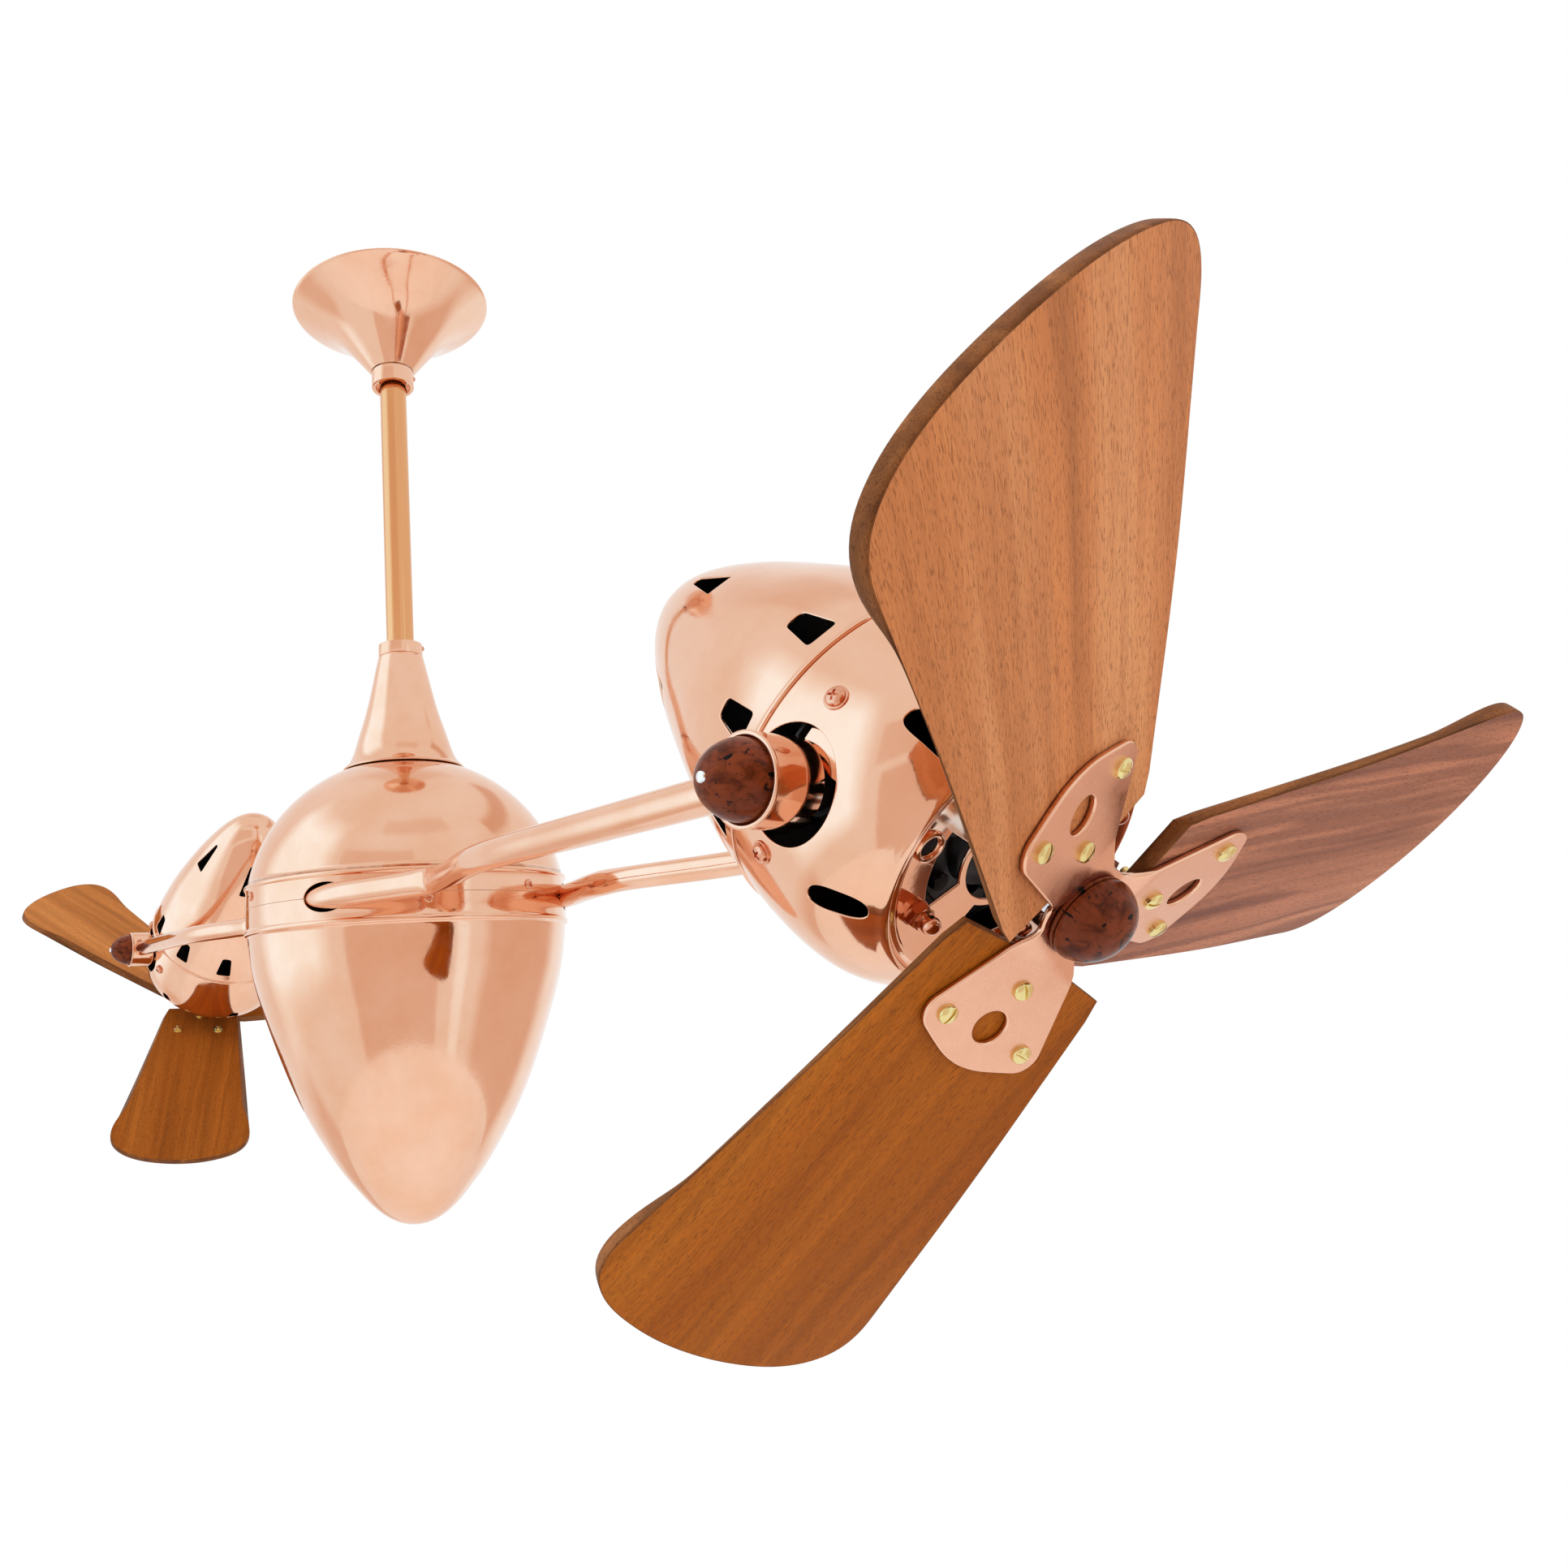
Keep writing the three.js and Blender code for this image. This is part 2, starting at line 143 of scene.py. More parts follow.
def distanceTo(points, outline):
    best = np.full(len(points), 1e9)
    for start, end in zip(outline, np.roll(outline, -1, axis=0)):
        run = end - start
        t = np.clip(((points - start) @ run) / max(run @ run, 1e-12), 0, 1)
        best = np.minimum(best, np.linalg.norm(points - start - t[:, None] * run, axis=1))
    return best


def formedSheet(flat, cuts, place, thickness, bulge, crisp=1.0, border=None, clear=0.8):
    # A sheet drawn flat, cut, then formed: place() turns flat points into points and normals.
    # flat: loose points; cuts: outlines of holes; border: the sheet's own outline, if it isn't a rectangle.
    # Each face is of kind 0 outside, 1 inside and 2 on a cut edge, which bulges and can be crisp or soft.
    loops = [np.array(cut, float) for cut in cuts]
    if border is not None:
        loops.append(np.array(border, float))
    keep = np.ones(len(flat), bool)
    for loop in loops[:len(cuts)]:
        keep &= ~insidePolygon(flat, loop)
    if border is not None:
        keep &= insidePolygon(flat, loops[-1])
    for loop in loops:
        keep &= distanceTo(flat, loop) > clear
    coords = [Vector(point) for point in flat[keep]]
    edges = []
    for loop in loops:
        first = len(coords)
        coords += [Vector(point) for point in loop]
        edges += [(first + i, first + (i + 1) % len(loop)) for i in range(len(loop))]
    spread, _, triangles, _, _, _ = delaunay_2d_cdt(coords, edges, [], 0, 1e-7)
    spread = np.array([tuple(point) for point in spread])
    triangles = np.array([tuple(face) for face in triangles])
    middle = spread[triangles].mean(1)
    keep = np.ones(len(triangles), bool)
    for loop in loops[:len(cuts)]:
        keep &= ~insidePolygon(middle, loop)
    if border is not None:
        keep &= insidePolygon(middle, loops[-1])
    triangles = triangles[keep]
    points, normals = place(spread)
    # Points that land on one spot, at a seam or a pole, become one.
    _, first, where = np.unique(np.round(points, 5), axis=0, return_index=True, return_inverse=True)
    where = where.ravel()
    points, normals = points[first], normals[first]
    triangles = where[triangles]
    triangles = triangles[(triangles[:, 0] != triangles[:, 1]) & (triangles[:, 1] != triangles[:, 2])
                          & (triangles[:, 2] != triangles[:, 0])]
    used = np.unique(triangles)
    remap = np.full(len(points), -1)
    remap[used] = np.arange(len(used))
    points, normals, triangles = points[used], normals[used], remap[triangles]
    facing = np.cross(points[triangles[:, 1]] - points[triangles[:, 0]],
                      points[triangles[:, 2]] - points[triangles[:, 0]])
    wrong = np.einsum("ij,ij->i", facing, normals[triangles].mean(1)) < 0
    triangles[wrong] = triangles[wrong][:, ::-1]
    # The open edges, in their faces' direction.
    directed = {}
    for a, b, c in triangles.tolist():
        for edge in ((a, b), (b, c), (c, a)):
            directed[edge] = True
    rim = [edge for edge in directed if (edge[1], edge[0]) not in directed]
    outward = np.zeros_like(points)
    for a, b in rim:
        run = points[b] - points[a]
        side = np.cross(run, normals[a] + normals[b])
        side /= max(np.linalg.norm(side), 1e-9)
        outward[a] += side
        outward[b] += side
    count = len(points)
    verts = [points, points - normals * thickness]
    corners = [tuple(face) for face in triangles.tolist()]
    corners += [(c + count, b + count, a + count) for a, b, c in triangles.tolist()]
    shades = [normals[list(face)] for face in triangles.tolist()]
    shades += [-normals[[c, b, a]] for a, b, c in triangles.tolist()]
    kinds = [0] * len(triangles) + [1] * len(triangles)
    if rim:
        edgeIds = sorted({v for edge in rim for v in edge})
        slotOf = {v: i for i, v in enumerate(edgeIds)}
        ids = np.array(edgeIds)
        side = outward[ids] / np.maximum(np.linalg.norm(outward[ids], axis=1), 1e-9)[:, None]
        quarter = [0.28, 0.7, 1.25]
        angles = quarter + [math.pi / 2] + [math.pi - angle for angle in quarter[::-1]]
        layers = [ids]
        tilts = [normals[ids]]
        base = 2 * count
        for angle in angles:
            deep = thickness * (1 - math.cos(angle)) / 2
            out = bulge * math.sin(angle) ** crisp
            verts.append(points[ids] - normals[ids] * deep + side * out)
            layers.append(np.arange(base, base + len(ids)))
            base += len(ids)
            lean = math.copysign(abs(math.cos(angle)) ** (1 / crisp), math.cos(angle))
            tilt = normals[ids] * lean + side * math.sin(angle)
            tilts.append(tilt / np.linalg.norm(tilt, axis=1)[:, None])
        layers.append(ids + count)
        tilts.append(-normals[ids])
        for a, b in rim:
            i, j = slotOf[a], slotOf[b]
            for k in range(len(layers) - 1):
                high, low = layers[k], layers[k + 1]
                corners.append((int(high[j]), int(high[i]), int(low[i]), int(low[j])))
                shades.append(np.array([tilts[k][j], tilts[k][i], tilts[k + 1][i], tilts[k + 1][j]]))
                kinds.append(2)
    return np.vstack(verts), corners, shades, kinds


def profileRun(profile):
    return np.r_[0, np.cumsum(np.linalg.norm(np.diff(profile, axis=0), axis=1))]


def pressedShell(outer, thickness, segments, joinTurn=0.0, cuts=(), bulge=0.3, spacing=5.0):
    # Thin turned sheet with openings. outer: (radius, height) from the high end down.
    # joinTurn: where the sheet's two ends meet. cuts: outlines of (turn in radians, distance along the profile).
    outer = np.array(outer, float)
    run = profileRun(outer)
    slope = np.gradient(outer, run, axis=0)
    slope /= np.linalg.norm(slope, axis=1)[:, None]
    across = np.stack([-slope[:, 1], slope[:, 0]], 1)
    reach = outer[:, 0].max()
    # Rows where the profile turns, and at least one every few millimetres.
    bend = np.abs(np.diff(np.unwrap(np.arctan2(slope[:, 1], slope[:, 0]))))
    effort = np.r_[0, np.cumsum(np.diff(run) / spacing + bend / 0.12)]
    rows = np.interp(np.linspace(0, effort[-1], max(int(effort[-1]), 4) + 1), effort, run)
    turns = joinTurn + full * np.arange(segments + 1) / segments
    grid = np.array([(angle * reach, row) for row in rows for angle in turns])
    loops = []
    for cut in cuts:
        cut = np.array(cut, float)
        wraps = full * math.floor((cut[:, 0].mean() - joinTurn) / full)
        loops.append(np.stack([(cut[:, 0] - wraps) * reach, cut[:, 1]], 1))

    def place(spread):
        angle, along = spread[:, 0] / reach, spread[:, 1]
        radius, height = np.interp(along, run, outer[:, 0]), np.interp(along, run, outer[:, 1])
        nr, nz = np.interp(along, run, across[:, 0]), np.interp(along, run, across[:, 1])
        nr[radius < 1e-6] = 0
        size = np.hypot(nr, nz)
        c, s = np.cos(angle), np.sin(angle)
        return (np.stack([radius * c, radius * s, height], 1),
                np.stack([nr / size * c, nr / size * s, nz / size], 1))

    return formedSheet(grid, loops, place, thickness, bulge, clear=0.9)


def moved(shape, matrix):
    verts, faces, shades = shape[:3]
    matrix = np.array(matrix, float)
    verts = verts @ matrix[:3, :3].T + matrix[:3, 3]
    if shades is not None:
        shades = [shade @ matrix[:3, :3].T for shade in shades]
    return verts, faces, shades


def joined(shapes):
    verts, faces, base = [], [], 0
    for shape in shapes:
        verts.append(shape[0])
        faces += [[v + base for v in face] for face in shape[1]]
        base += len(shape[0])
    return np.vstack(verts), faces, None


def shift(x=0, y=0, z=0):
    return Matrix.Translation((x, y, z))


def turn(axis, degrees):
    return Matrix.Rotation(math.radians(degrees), 4, axis)


def meshOf(name, shape, sharpFrom=32):
    # A formed sheet brings its own normals; any other shape is smooth up to the angle sharpFrom.
    verts, faces, shades = shape[:3]
    mesh = bpy.data.meshes.new(name)
    mesh.from_pydata((verts * mm).tolist(), [], [list(face) for face in faces])
    mesh.update()
    if shades is None:
        work = bmesh.new()
        work.from_mesh(mesh)
        bmesh.ops.recalc_face_normals(work, faces=work.faces)
        work.to_mesh(mesh)
        work.free()
        mesh.shade_smooth()
        mesh.set_sharp_from_angle(angle=math.radians(sharpFrom))
    else:
        mesh.shade_smooth()
        mesh.normals_split_custom_set([tuple(n) for shade in shades for n in shade])
        mesh.polygons.foreach_set("material_index", shape[3])
    return mesh


def addPiece(name, mesh, look, body, place=None, nodes=()):
    piece = bpy.data.objects.new(name, mesh)
    bpy.context.scene.collection.objects.link(piece)
    # A formed sheet can take one finish outside, one inside and one on its cut edges.
    looks = list(look) if isinstance(look, (list, tuple)) else [look]
    if not mesh.materials:
        if len(looks) < 3:
            mesh.polygons.foreach_set("material_index", np.zeros(len(mesh.polygons), np.int32))
        for item in looks:
            mesh.materials.append(item)
    if place is not None:
        moveBy = place.copy()
        moveBy.translation *= mm
        piece.matrix_world = moveBy
    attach(piece, body)
    if nodes:
        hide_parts(*nodes)
    return piece


def carved(shape, cutters):
    # Small parts only: cut with closed bodies.
    made = []
    for i, part in enumerate([shape] + list(cutters)):
        item = bpy.data.objects.new(f"carve{i}", meshOf(f"carve{i}", part))
        bpy.context.scene.collection.objects.link(item)
        made.append(item)
    for cutter in made[1:]:
        cut = made[0].modifiers.new("cut", "BOOLEAN")
        cut.operation, cut.solver, cut.object = "DIFFERENCE", "EXACT", cutter
    bpy.context.view_layer.update()
    result = bpy.data.meshes.new_from_object(made[0].evaluated_get(bpy.context.evaluated_depsgraph_get()))
    verts = np.array([v.co for v in result.vertices]) / mm
    faces = [list(face.vertices) for face in result.polygons]
    for item in made:
        bpy.data.objects.remove(item)
    bpy.data.meshes.remove(result)
    return verts, faces, None


def block(x0, x1, y0, y1, z0, z1):
    verts = np.array([(x, y, z) for x in (x0, x1) for y in (y0, y1) for z in (z0, z1)], float)
    return verts, [(0, 1, 3, 2), (4, 6, 7, 5), (0, 4, 5, 1), (2, 3, 7, 6), (0, 2, 6, 4), (1, 5, 7, 3)], None


def screwHead(radius, height, slots=1, width=1.0, depth=1.0, segments=40):
    # A round head with a driver slot, or two for a cross, its seat at z = 0.
    dome = [(radius * math.cos(t) ** 0.8, height * (0.25 + 0.75 * math.sin(t))) for t in np.linspace(0.05, 1.45, 9)]
    loop = [(0, -0.4), (radius * 0.98, -0.4), (radius, 0), *dome, (0, height)]
    reach = radius * (1.2 if slots == 1 else 0.55)
    cutters = [moved(block(-reach, reach, -width / 2, width / 2, height - depth, height + 2), turn("Z", 90 * k))
               for k in range(slots)]
    return carved(turned(loop, segments), cutters)


def hexNut(across, height):
    # A hexagonal prism, measured across its flats, with its corners turned down.
    flat = across / 2
    reach = flat / math.cos(math.pi / 6)
    prism = turned([(0, 0), (reach, 0), (reach, height), (0, height)], 6)
    outside = turned([(reach * 1.6, -1), (reach * 1.6, height + 1), (flat * 0.9, height + 1),
                      (flat * 0.97, height - 0.02), (reach * 1.03, height - 0.8), (reach * 1.03, 0.6),
                      (flat * 0.99, -0.02), (flat * 0.9, -1)], 36)
    return carved(prism, [outside])


def newFinish(name):
    look = bpy.data.materials.new(name)
    look.use_nodes = True
    return look, look.node_tree.nodes, look.node_tree.links, look.node_tree.nodes["Principled BSDF"]


def objectSpace(nodes, links, scale=(1, 1, 1), offset=(0, 0, 0)):
    where = nodes.new("ShaderNodeTexCoord")
    fit = nodes.new("ShaderNodeMapping")
    fit.inputs["Scale"].default_value = scale
    fit.inputs["Location"].default_value = offset
    links.new(where.outputs["Object"], fit.inputs["Vector"])
    return fit.outputs["Vector"]


def noiseAt(nodes, links, vector, scale, detail=2.0, rough=0.5, distortion=0.0):
    grain = nodes.new("ShaderNodeTexNoise")
    grain.inputs["Scale"].default_value = scale
    grain.inputs["Detail"].default_value = detail
    grain.inputs["Roughness"].default_value = rough
    grain.inputs["Distortion"].default_value = distortion
    links.new(vector, grain.inputs["Vector"])
    return grain.outputs["Fac"]


def ramp(nodes, links, value, stops, smooth=False):
    band = nodes.new("ShaderNodeValToRGB")
    band.color_ramp.interpolation = "EASE" if smooth else "LINEAR"
    while len(band.color_ramp.elements) < len(stops):
        band.color_ramp.elements.new(0.5)
    for element, (position, colour) in zip(band.color_ramp.elements, stops):
        element.position = position
        element.color = (*colour, 1) if len(colour) == 3 else colour
    links.new(value, band.inputs["Fac"])
    return band.outputs["Color"]


def grey(value):
    return (value, value, value)


def remapped(nodes, links, value, low, high, fromLow=0.3, fromHigh=0.7):
    fit = nodes.new("ShaderNodeMapRange")
    fit.inputs["From Min"].default_value = fromLow
    fit.inputs["From Max"].default_value = fromHigh
    fit.inputs["To Min"].default_value = low
    fit.inputs["To Max"].default_value = high
    links.new(value, fit.inputs["Value"])
    return fit.outputs["Result"]


def mixed(nodes, links, kind, amount, first, second):
    mix = nodes.new("ShaderNodeMix")
    mix.data_type = "RGBA"
    mix.blend_type = kind
    for name, value in (("Factor", amount), ("A", first), ("B", second)):
        socket = [s for s in mix.inputs if s.name == name and (name == "Factor" or s.type == "RGBA")][0]
        if hasattr(value, "links"):
            links.new(value, socket)
        else:
            socket.default_value = value if name == "Factor" else (*value, 1)
    return [s for s in mix.outputs if s.type == "RGBA"][0]


def mathOn(nodes, links, operation, *values, clamp=False):
    node = nodes.new("ShaderNodeMath")
    node.operation, node.use_clamp = operation, clamp
    for socket, value in zip(node.inputs, values):
        if hasattr(value, "links"):
            links.new(value, socket)
        else:
            socket.default_value = value
    return node.outputs[0]


def bumpFrom(nodes, links, shader, height, strength, distance):
    bump = nodes.new("ShaderNodeBump")
    bump.inputs["Strength"].default_value = strength
    bump.inputs["Distance"].default_value = distance
    links.new(height, bump.inputs["Height"])
    links.new(bump.outputs["Normal"], shader.inputs["Normal"])


# rough: least and most roughness; ripple: its size and height in metres; stretch: of the pattern.
metals = {
    "polishedRoseCopper": dict(bright=(0.880, 0.540, 0.378), deep=(0.845, 0.475, 0.305), rough=(0.055, 0.13),
                               ripple=(520, 0.00006)),
    "drawnRodCopper": dict(bright=(0.80, 0.41, 0.19), deep=(0.74, 0.35, 0.15), rough=(0.13, 0.24),
                           ripple=(420, 0.00008), stretch=(1, 1, 0.08)),
    "platedPetalCopper": dict(bright=(0.85, 0.470, 0.320), deep=(0.80, 0.420, 0.270), rough=(0.22, 0.34),
                              ripple=(900, 0.00010)),
    "screwCopper": dict(bright=(0.80, 0.40, 0.26), deep=(0.66, 0.28, 0.16), rough=(0.10, 0.20),
                        ripple=(900, 0.00006)),
    # Inside copper: rougher because it is unpolished, and darker as painted shade.
    "shadedInnerCopper": dict(bright=(0.46, 0.22, 0.13), deep=(0.34, 0.15, 0.08), rough=(0.28, 0.42),
                        ripple=(300, 0.0001)),
    "screwBrass": dict(bright=(0.84, 0.70, 0.33), deep=(0.74, 0.58, 0.24), rough=(0.14, 0.26),
                       ripple=(900, 0.00008)),
    "machinedSteel": dict(bright=(0.58, 0.58, 0.59), deep=(0.44, 0.44, 0.46), rough=(0.26, 0.40),
                          ripple=(500, 0.0001), stretch=(1, 1, 6)),
    "polishedNickel": dict(bright=(0.86, 0.87, 0.89), deep=(0.78, 0.79, 0.82), rough=(0.07, 0.14),
                           ripple=(500, 0.00004)),
}


def metalFinish(name):
    metal = metals[name]
    look, nodes, links, shader = newFinish(name)
    shader.inputs["Metallic"].default_value = 1.0
    space = objectSpace(nodes, links, metal.get("stretch", (1, 1, 1)))
    clouds = noiseAt(nodes, links, space, 22, 4, 0.6)
    tint = ramp(nodes, links, clouds, [(0.32, metal["bright"]), (0.72, metal["deep"])], True)
    links.new(tint, shader.inputs["Base Color"])
    fine = noiseAt(nodes, links, space, 160, 5, 0.65)
    links.new(remapped(nodes, links, fine, *metal["rough"]), shader.inputs["Roughness"])
    rippleSize, rippleHeight = metal["ripple"]
    ripple = noiseAt(nodes, links, space, rippleSize, 2, 0.5)
    bumpFrom(nodes, links, shader, ripple, 0.25, rippleHeight)
    return look


# bands: how many broad bands of grain in a metre; offset: where in the log the plank is cut.
woods = {
    "mahogany": dict(dark=(0.420, 0.148, 0.052), mid=(0.520, 0.188, 0.066), light=(0.620, 0.262, 0.110),
                     pore=(0.165, 0.050, 0.016), bands=30, offset=(0.0, 0.0, 0.0)),
    "rosy": dict(dark=(0.180, 0.060, 0.038), mid=(0.435, 0.166, 0.090), light=(0.605, 0.268, 0.150),
                 pore=(0.110, 0.034, 0.022), bands=34, offset=(2.9, 1.9, 0.6)),
    "chestnut": dict(dark=(0.290, 0.072, 0.0060), mid=(0.375, 0.102, 0.0085), light=(0.465, 0.142, 0.0140),
                     pore=(0.120, 0.028, 0.004), bands=24, offset=(1.3, 0.7, 0.2)),
    "umber": dict(dark=(0.175, 0.044, 0.0045), mid=(0.300, 0.080, 0.0085), light=(0.390, 0.116, 0.014),
                  pore=(0.090, 0.020, 0.003), bands=22, offset=(4.1, 0.2, 0.4)),
    "honey": dict(dark=(0.300, 0.096, 0.018), mid=(0.420, 0.148, 0.033), light=(0.520, 0.200, 0.050),
                  pore=(0.190, 0.055, 0.010), bands=20, offset=(0.7, 2.3, 0.1)),
    # The edge tone is a darker copy of the wood for the planks' edges: painted shade.
    "edge": dict(dark=(0.110, 0.036, 0.011), mid=(0.200, 0.068, 0.020), light=(0.290, 0.108, 0.034),
                 pore=(0.055, 0.016, 0.006), bands=60, offset=(0.5, 0.9, 0.3)),
}


grain = {
    "wander": 0.016, "ribbon": 0.34, "fibre": 0.30, "vein": 0.55, "pore": 0.50,
    "rough": (0.42, 0.56), "specular": 0.07, "relief": 0.00022,
}


def woodFinish(name, tone, seedShift, streaks):
    look, nodes, links, shader = newFinish(name)
    offset = tuple(a + b for a, b in zip(tone["offset"], seedShift))
    plain = objectSpace(nodes, links, (1, 1, 1), offset)
    # A slow sideways wander keeps the grain from running dead straight.
    wander = nodes.new("ShaderNodeTexNoise")
    wander.inputs["Scale"].default_value = 7
    wander.inputs["Detail"].default_value = 1.5
    links.new(plain, wander.inputs["Vector"])
    sway = nodes.new("ShaderNodeVectorMath")
    sway.operation = "MULTIPLY_ADD"
    sway.inputs[1].default_value = (0.0, grain["wander"], grain["wander"])
    links.new(wander.outputs["Color"], sway.inputs[0])
    links.new(plain, sway.inputs[2])

    def along(scale):
        fit = nodes.new("ShaderNodeMapping")
        fit.inputs["Scale"].default_value = scale
        links.new(sway.outputs["Vector"], fit.inputs["Vector"])
        return fit.outputs["Vector"]

    broad = noiseAt(nodes, links, along((1.6, tone["bands"], tone["bands"])), 1.0, 3, 0.55)
    base = ramp(nodes, links, broad, [(0.28, tone["dark"]), (0.47, tone["mid"]), (0.72, tone["light"])], True)
    ribbon = noiseAt(nodes, links, along((3.0, 110, 110)), 1.0, 4, 0.6)
    shine = ramp(nodes, links, ribbon, [(0.3, grey(0.25)), (0.7, grey(0.78))])
    base = mixed(nodes, links, "OVERLAY", grain["ribbon"], base, shine)
    fibre = noiseAt(nodes, links, along((24, 1400, 1400)), 1.0, 3, 0.6)
    strands = ramp(nodes, links, fibre, [(0.3, grey(0.28)), (0.7, grey(0.74))])
    base = mixed(nodes, links, "OVERLAY", grain["fibre"], base, strands)
    line = noiseAt(nodes, links, along((0.9, 62, 62)), 1.0, 2, 0.4)
    vein = ramp(nodes, links, line, [(0.40, grey(0)), (0.455, grey(1)), (0.49, grey(1)), (0.56, grey(0))], True)
    weak = mathOn(nodes, links, "MULTIPLY", vein, streaks * grain["vein"])
    base = mixed(nodes, links, "MIX", weak, base, tone["dark"])
    # Open pores: short dark dashes that lie along the grain.
    dashes = noiseAt(nodes, links, along((310, 2500, 2500)), 1.0, 1.5, 0.5)
    pores = ramp(nodes, links, dashes, [(0.575, grey(0)), (0.63, grey(1))])
    cover = mathOn(nodes, links, "MULTIPLY", pores, grain["pore"])
    base = mixed(nodes, links, "MIX", cover, base, tone["pore"])
    links.new(base, shader.inputs["Base Color"])
    links.new(remapped(nodes, links, fibre, *grain["rough"]), shader.inputs["Roughness"])
    shader.inputs["Specular IOR Level"].default_value = grain["specular"]
    depth = mathOn(nodes, links, "MULTIPLY_ADD", pores, -0.8, fibre)
    bumpFrom(nodes, links, shader, depth, 0.35, grain["relief"])
    return look


burl = {
    "red": (0.180, 0.036, 0.011), "brown": (0.070, 0.013, 0.004), "speck": (0.020, 0.006, 0.004),
    "blot": (0.004, 0.003, 0.003), "size": 170, "rough": (0.20, 0.30), "coat": 0.06, "specular": 0.08,
}


def burlFinish(name, seedShift):
    look, nodes, links, shader = newFinish(name)
    space = objectSpace(nodes, links, (1, 1, 0.55), (seedShift, seedShift * 0.3, 0.0))
    clouds = noiseAt(nodes, links, space, burl["size"], 3, 0.6, 0.6)
    tint = ramp(nodes, links, clouds, [(0.3, burl["brown"]), (0.62, burl["red"])], True)
    specks = noiseAt(nodes, links, space, burl["size"] * 2.6, 3.5, 0.62, 0.9)
    spots = ramp(nodes, links, specks, [(0.60, grey(0)), (0.655, grey(1))])
    patches = noiseAt(nodes, links, space, burl["size"] * 0.75, 1.5, 0.4, 1.2)
    blots = ramp(nodes, links, patches, [(0.675, grey(0)), (0.70, grey(1))])
    tint = mixed(nodes, links, "MIX", spots, tint, burl["speck"])
    tint = mixed(nodes, links, "MIX", blots, tint, burl["blot"])
    links.new(tint, shader.inputs["Base Color"])
    links.new(remapped(nodes, links, specks, *burl["rough"]), shader.inputs["Roughness"])
    shader.inputs["Coat Weight"].default_value = burl["coat"]
    shader.inputs["Coat Roughness"].default_value = 0.08
    shader.inputs["Specular IOR Level"].default_value = burl["specular"]
    bumpFrom(nodes, links, shader, clouds, 0.12, 0.0002)
    return look


# rough: least and most roughness; size: of the dust; lift: of its bump, in metres.
darks = {
    "motorEnamel": dict(colour=(0.003, 0.003, 0.004), rough=(0.38, 0.55), size=90, lift=0.0001),
    # The inside finish is near black: painted shade for the dark inside of the pod and heads.
    "paintedInsideShade": dict(colour=(0.008, 0.005, 0.004), rough=(0.50, 0.68), size=120, lift=0.0002),
    "mouldedBlack": dict(colour=(0.020, 0.020, 0.022), rough=(0.42, 0.58), size=300, lift=0.0002),
}


def darkFinish(name):
    dark = darks[name]
    look, nodes, links, shader = newFinish(name)
    space = objectSpace(nodes, links)
    dust = noiseAt(nodes, links, space, dark["size"], 4, 0.6)
    dusty = tuple(c * 1.8 + 0.003 for c in dark["colour"])
    tint = ramp(nodes, links, dust, [(0.35, dark["colour"]), (0.75, dusty)])
    links.new(tint, shader.inputs["Base Color"])
    links.new(remapped(nodes, links, dust, *dark["rough"]), shader.inputs["Roughness"])
    bumpFrom(nodes, links, shader, noiseAt(nodes, links, space, dark["size"] * 4, 2), 0.2, dark["lift"])
    return look


print("finishes")
copper = metalFinish("polishedRoseCopper")
rodCopper = metalFinish("drawnRodCopper")
petalCopper = metalFinish("platedPetalCopper")
screwCopper = metalFinish("screwCopper")
shadedInnerCopper = metalFinish("shadedInnerCopper")
brass = metalFinish("screwBrass")
steel = metalFinish("machinedSteel")
nickel = metalFinish("polishedNickel")
motorBlack = darkFinish("motorEnamel")
# Near-black painted shade for inside faces, the motor cradle and the pivot stubs.
insideShade = darkFinish("paintedInsideShade")
plasticBlack = darkFinish("mouldedBlack")
bladeWood = {
    "right": [woodFinish("mahoganyTop", woods["mahogany"], (0, 0, 0), 0.25),
              woodFinish("rosyRight", woods["rosy"], (0.4, 0.3, 0), 1.0),
              woodFinish("chestnutLower", woods["chestnut"], (0.8, 0.1, 0), 0.45)],
    "left": [woodFinish("umberFar", woods["umber"], (3.1, 0.9, 0), 0.6),
             woodFinish("chestnutFar", woods["chestnut"], (2.2, 1.7, 0), 0.8),
             woodFinish("honeyFar", woods["honey"], (1.1, 2.3, 0), 0.4)],
}
# The planks' edge faces take the darker wood: painted shade along the edges.
shadedEdgeWood = woodFinish("paintedShadeEdgeWood", woods["edge"], (0.2, 0.2, 0.9), 0.8)
burls = {"hub": burlFinish("glossBurlHub", 0.02), "knob": burlFinish("glossBurlKnob", 0.31)}


print("ceiling set")
seam = shift(0, 0, seamHeight)
# The sheets' inside faces take the near-black finish: painted shade.
plated = (copper, insideShade, copper)  # outside, inside, cut edges
# Open sheets take the darker copper inside: painted shade.
platedOpen = (copper, shadedInnerCopper, copper)

canopy = {
    "sheet": 1.3, "rimRadius": 80.3, "collarAt": -67.5, "screwAt": -65.5,
    "lip": [(80.0, -1.7), (80.3, -2.3), (79.6, -3.2)],
    "flare": [(79.2, -3.7), (77, -5.1), (72, -8.1), (62.5, -13.9), (53, -20.4), (44, -28.2), (37, -36),
              (31, -43.2), (25.4, -50.2), (20.6, -56.3), (17.6, -60)],
}
flare = joinRuns([(canopy["rimRadius"] - 1.6, -1.5)], splineThrough(canopy["lip"], 7),
                 splineThrough(canopy["flare"], 90))
shell = pressedShell(flare, canopy["sheet"], 144, spacing=3.0)
addPiece("canopy_flare", meshOf("canopyFlare", shell), platedOpen, "ceiling_set", None, ["canopy"])

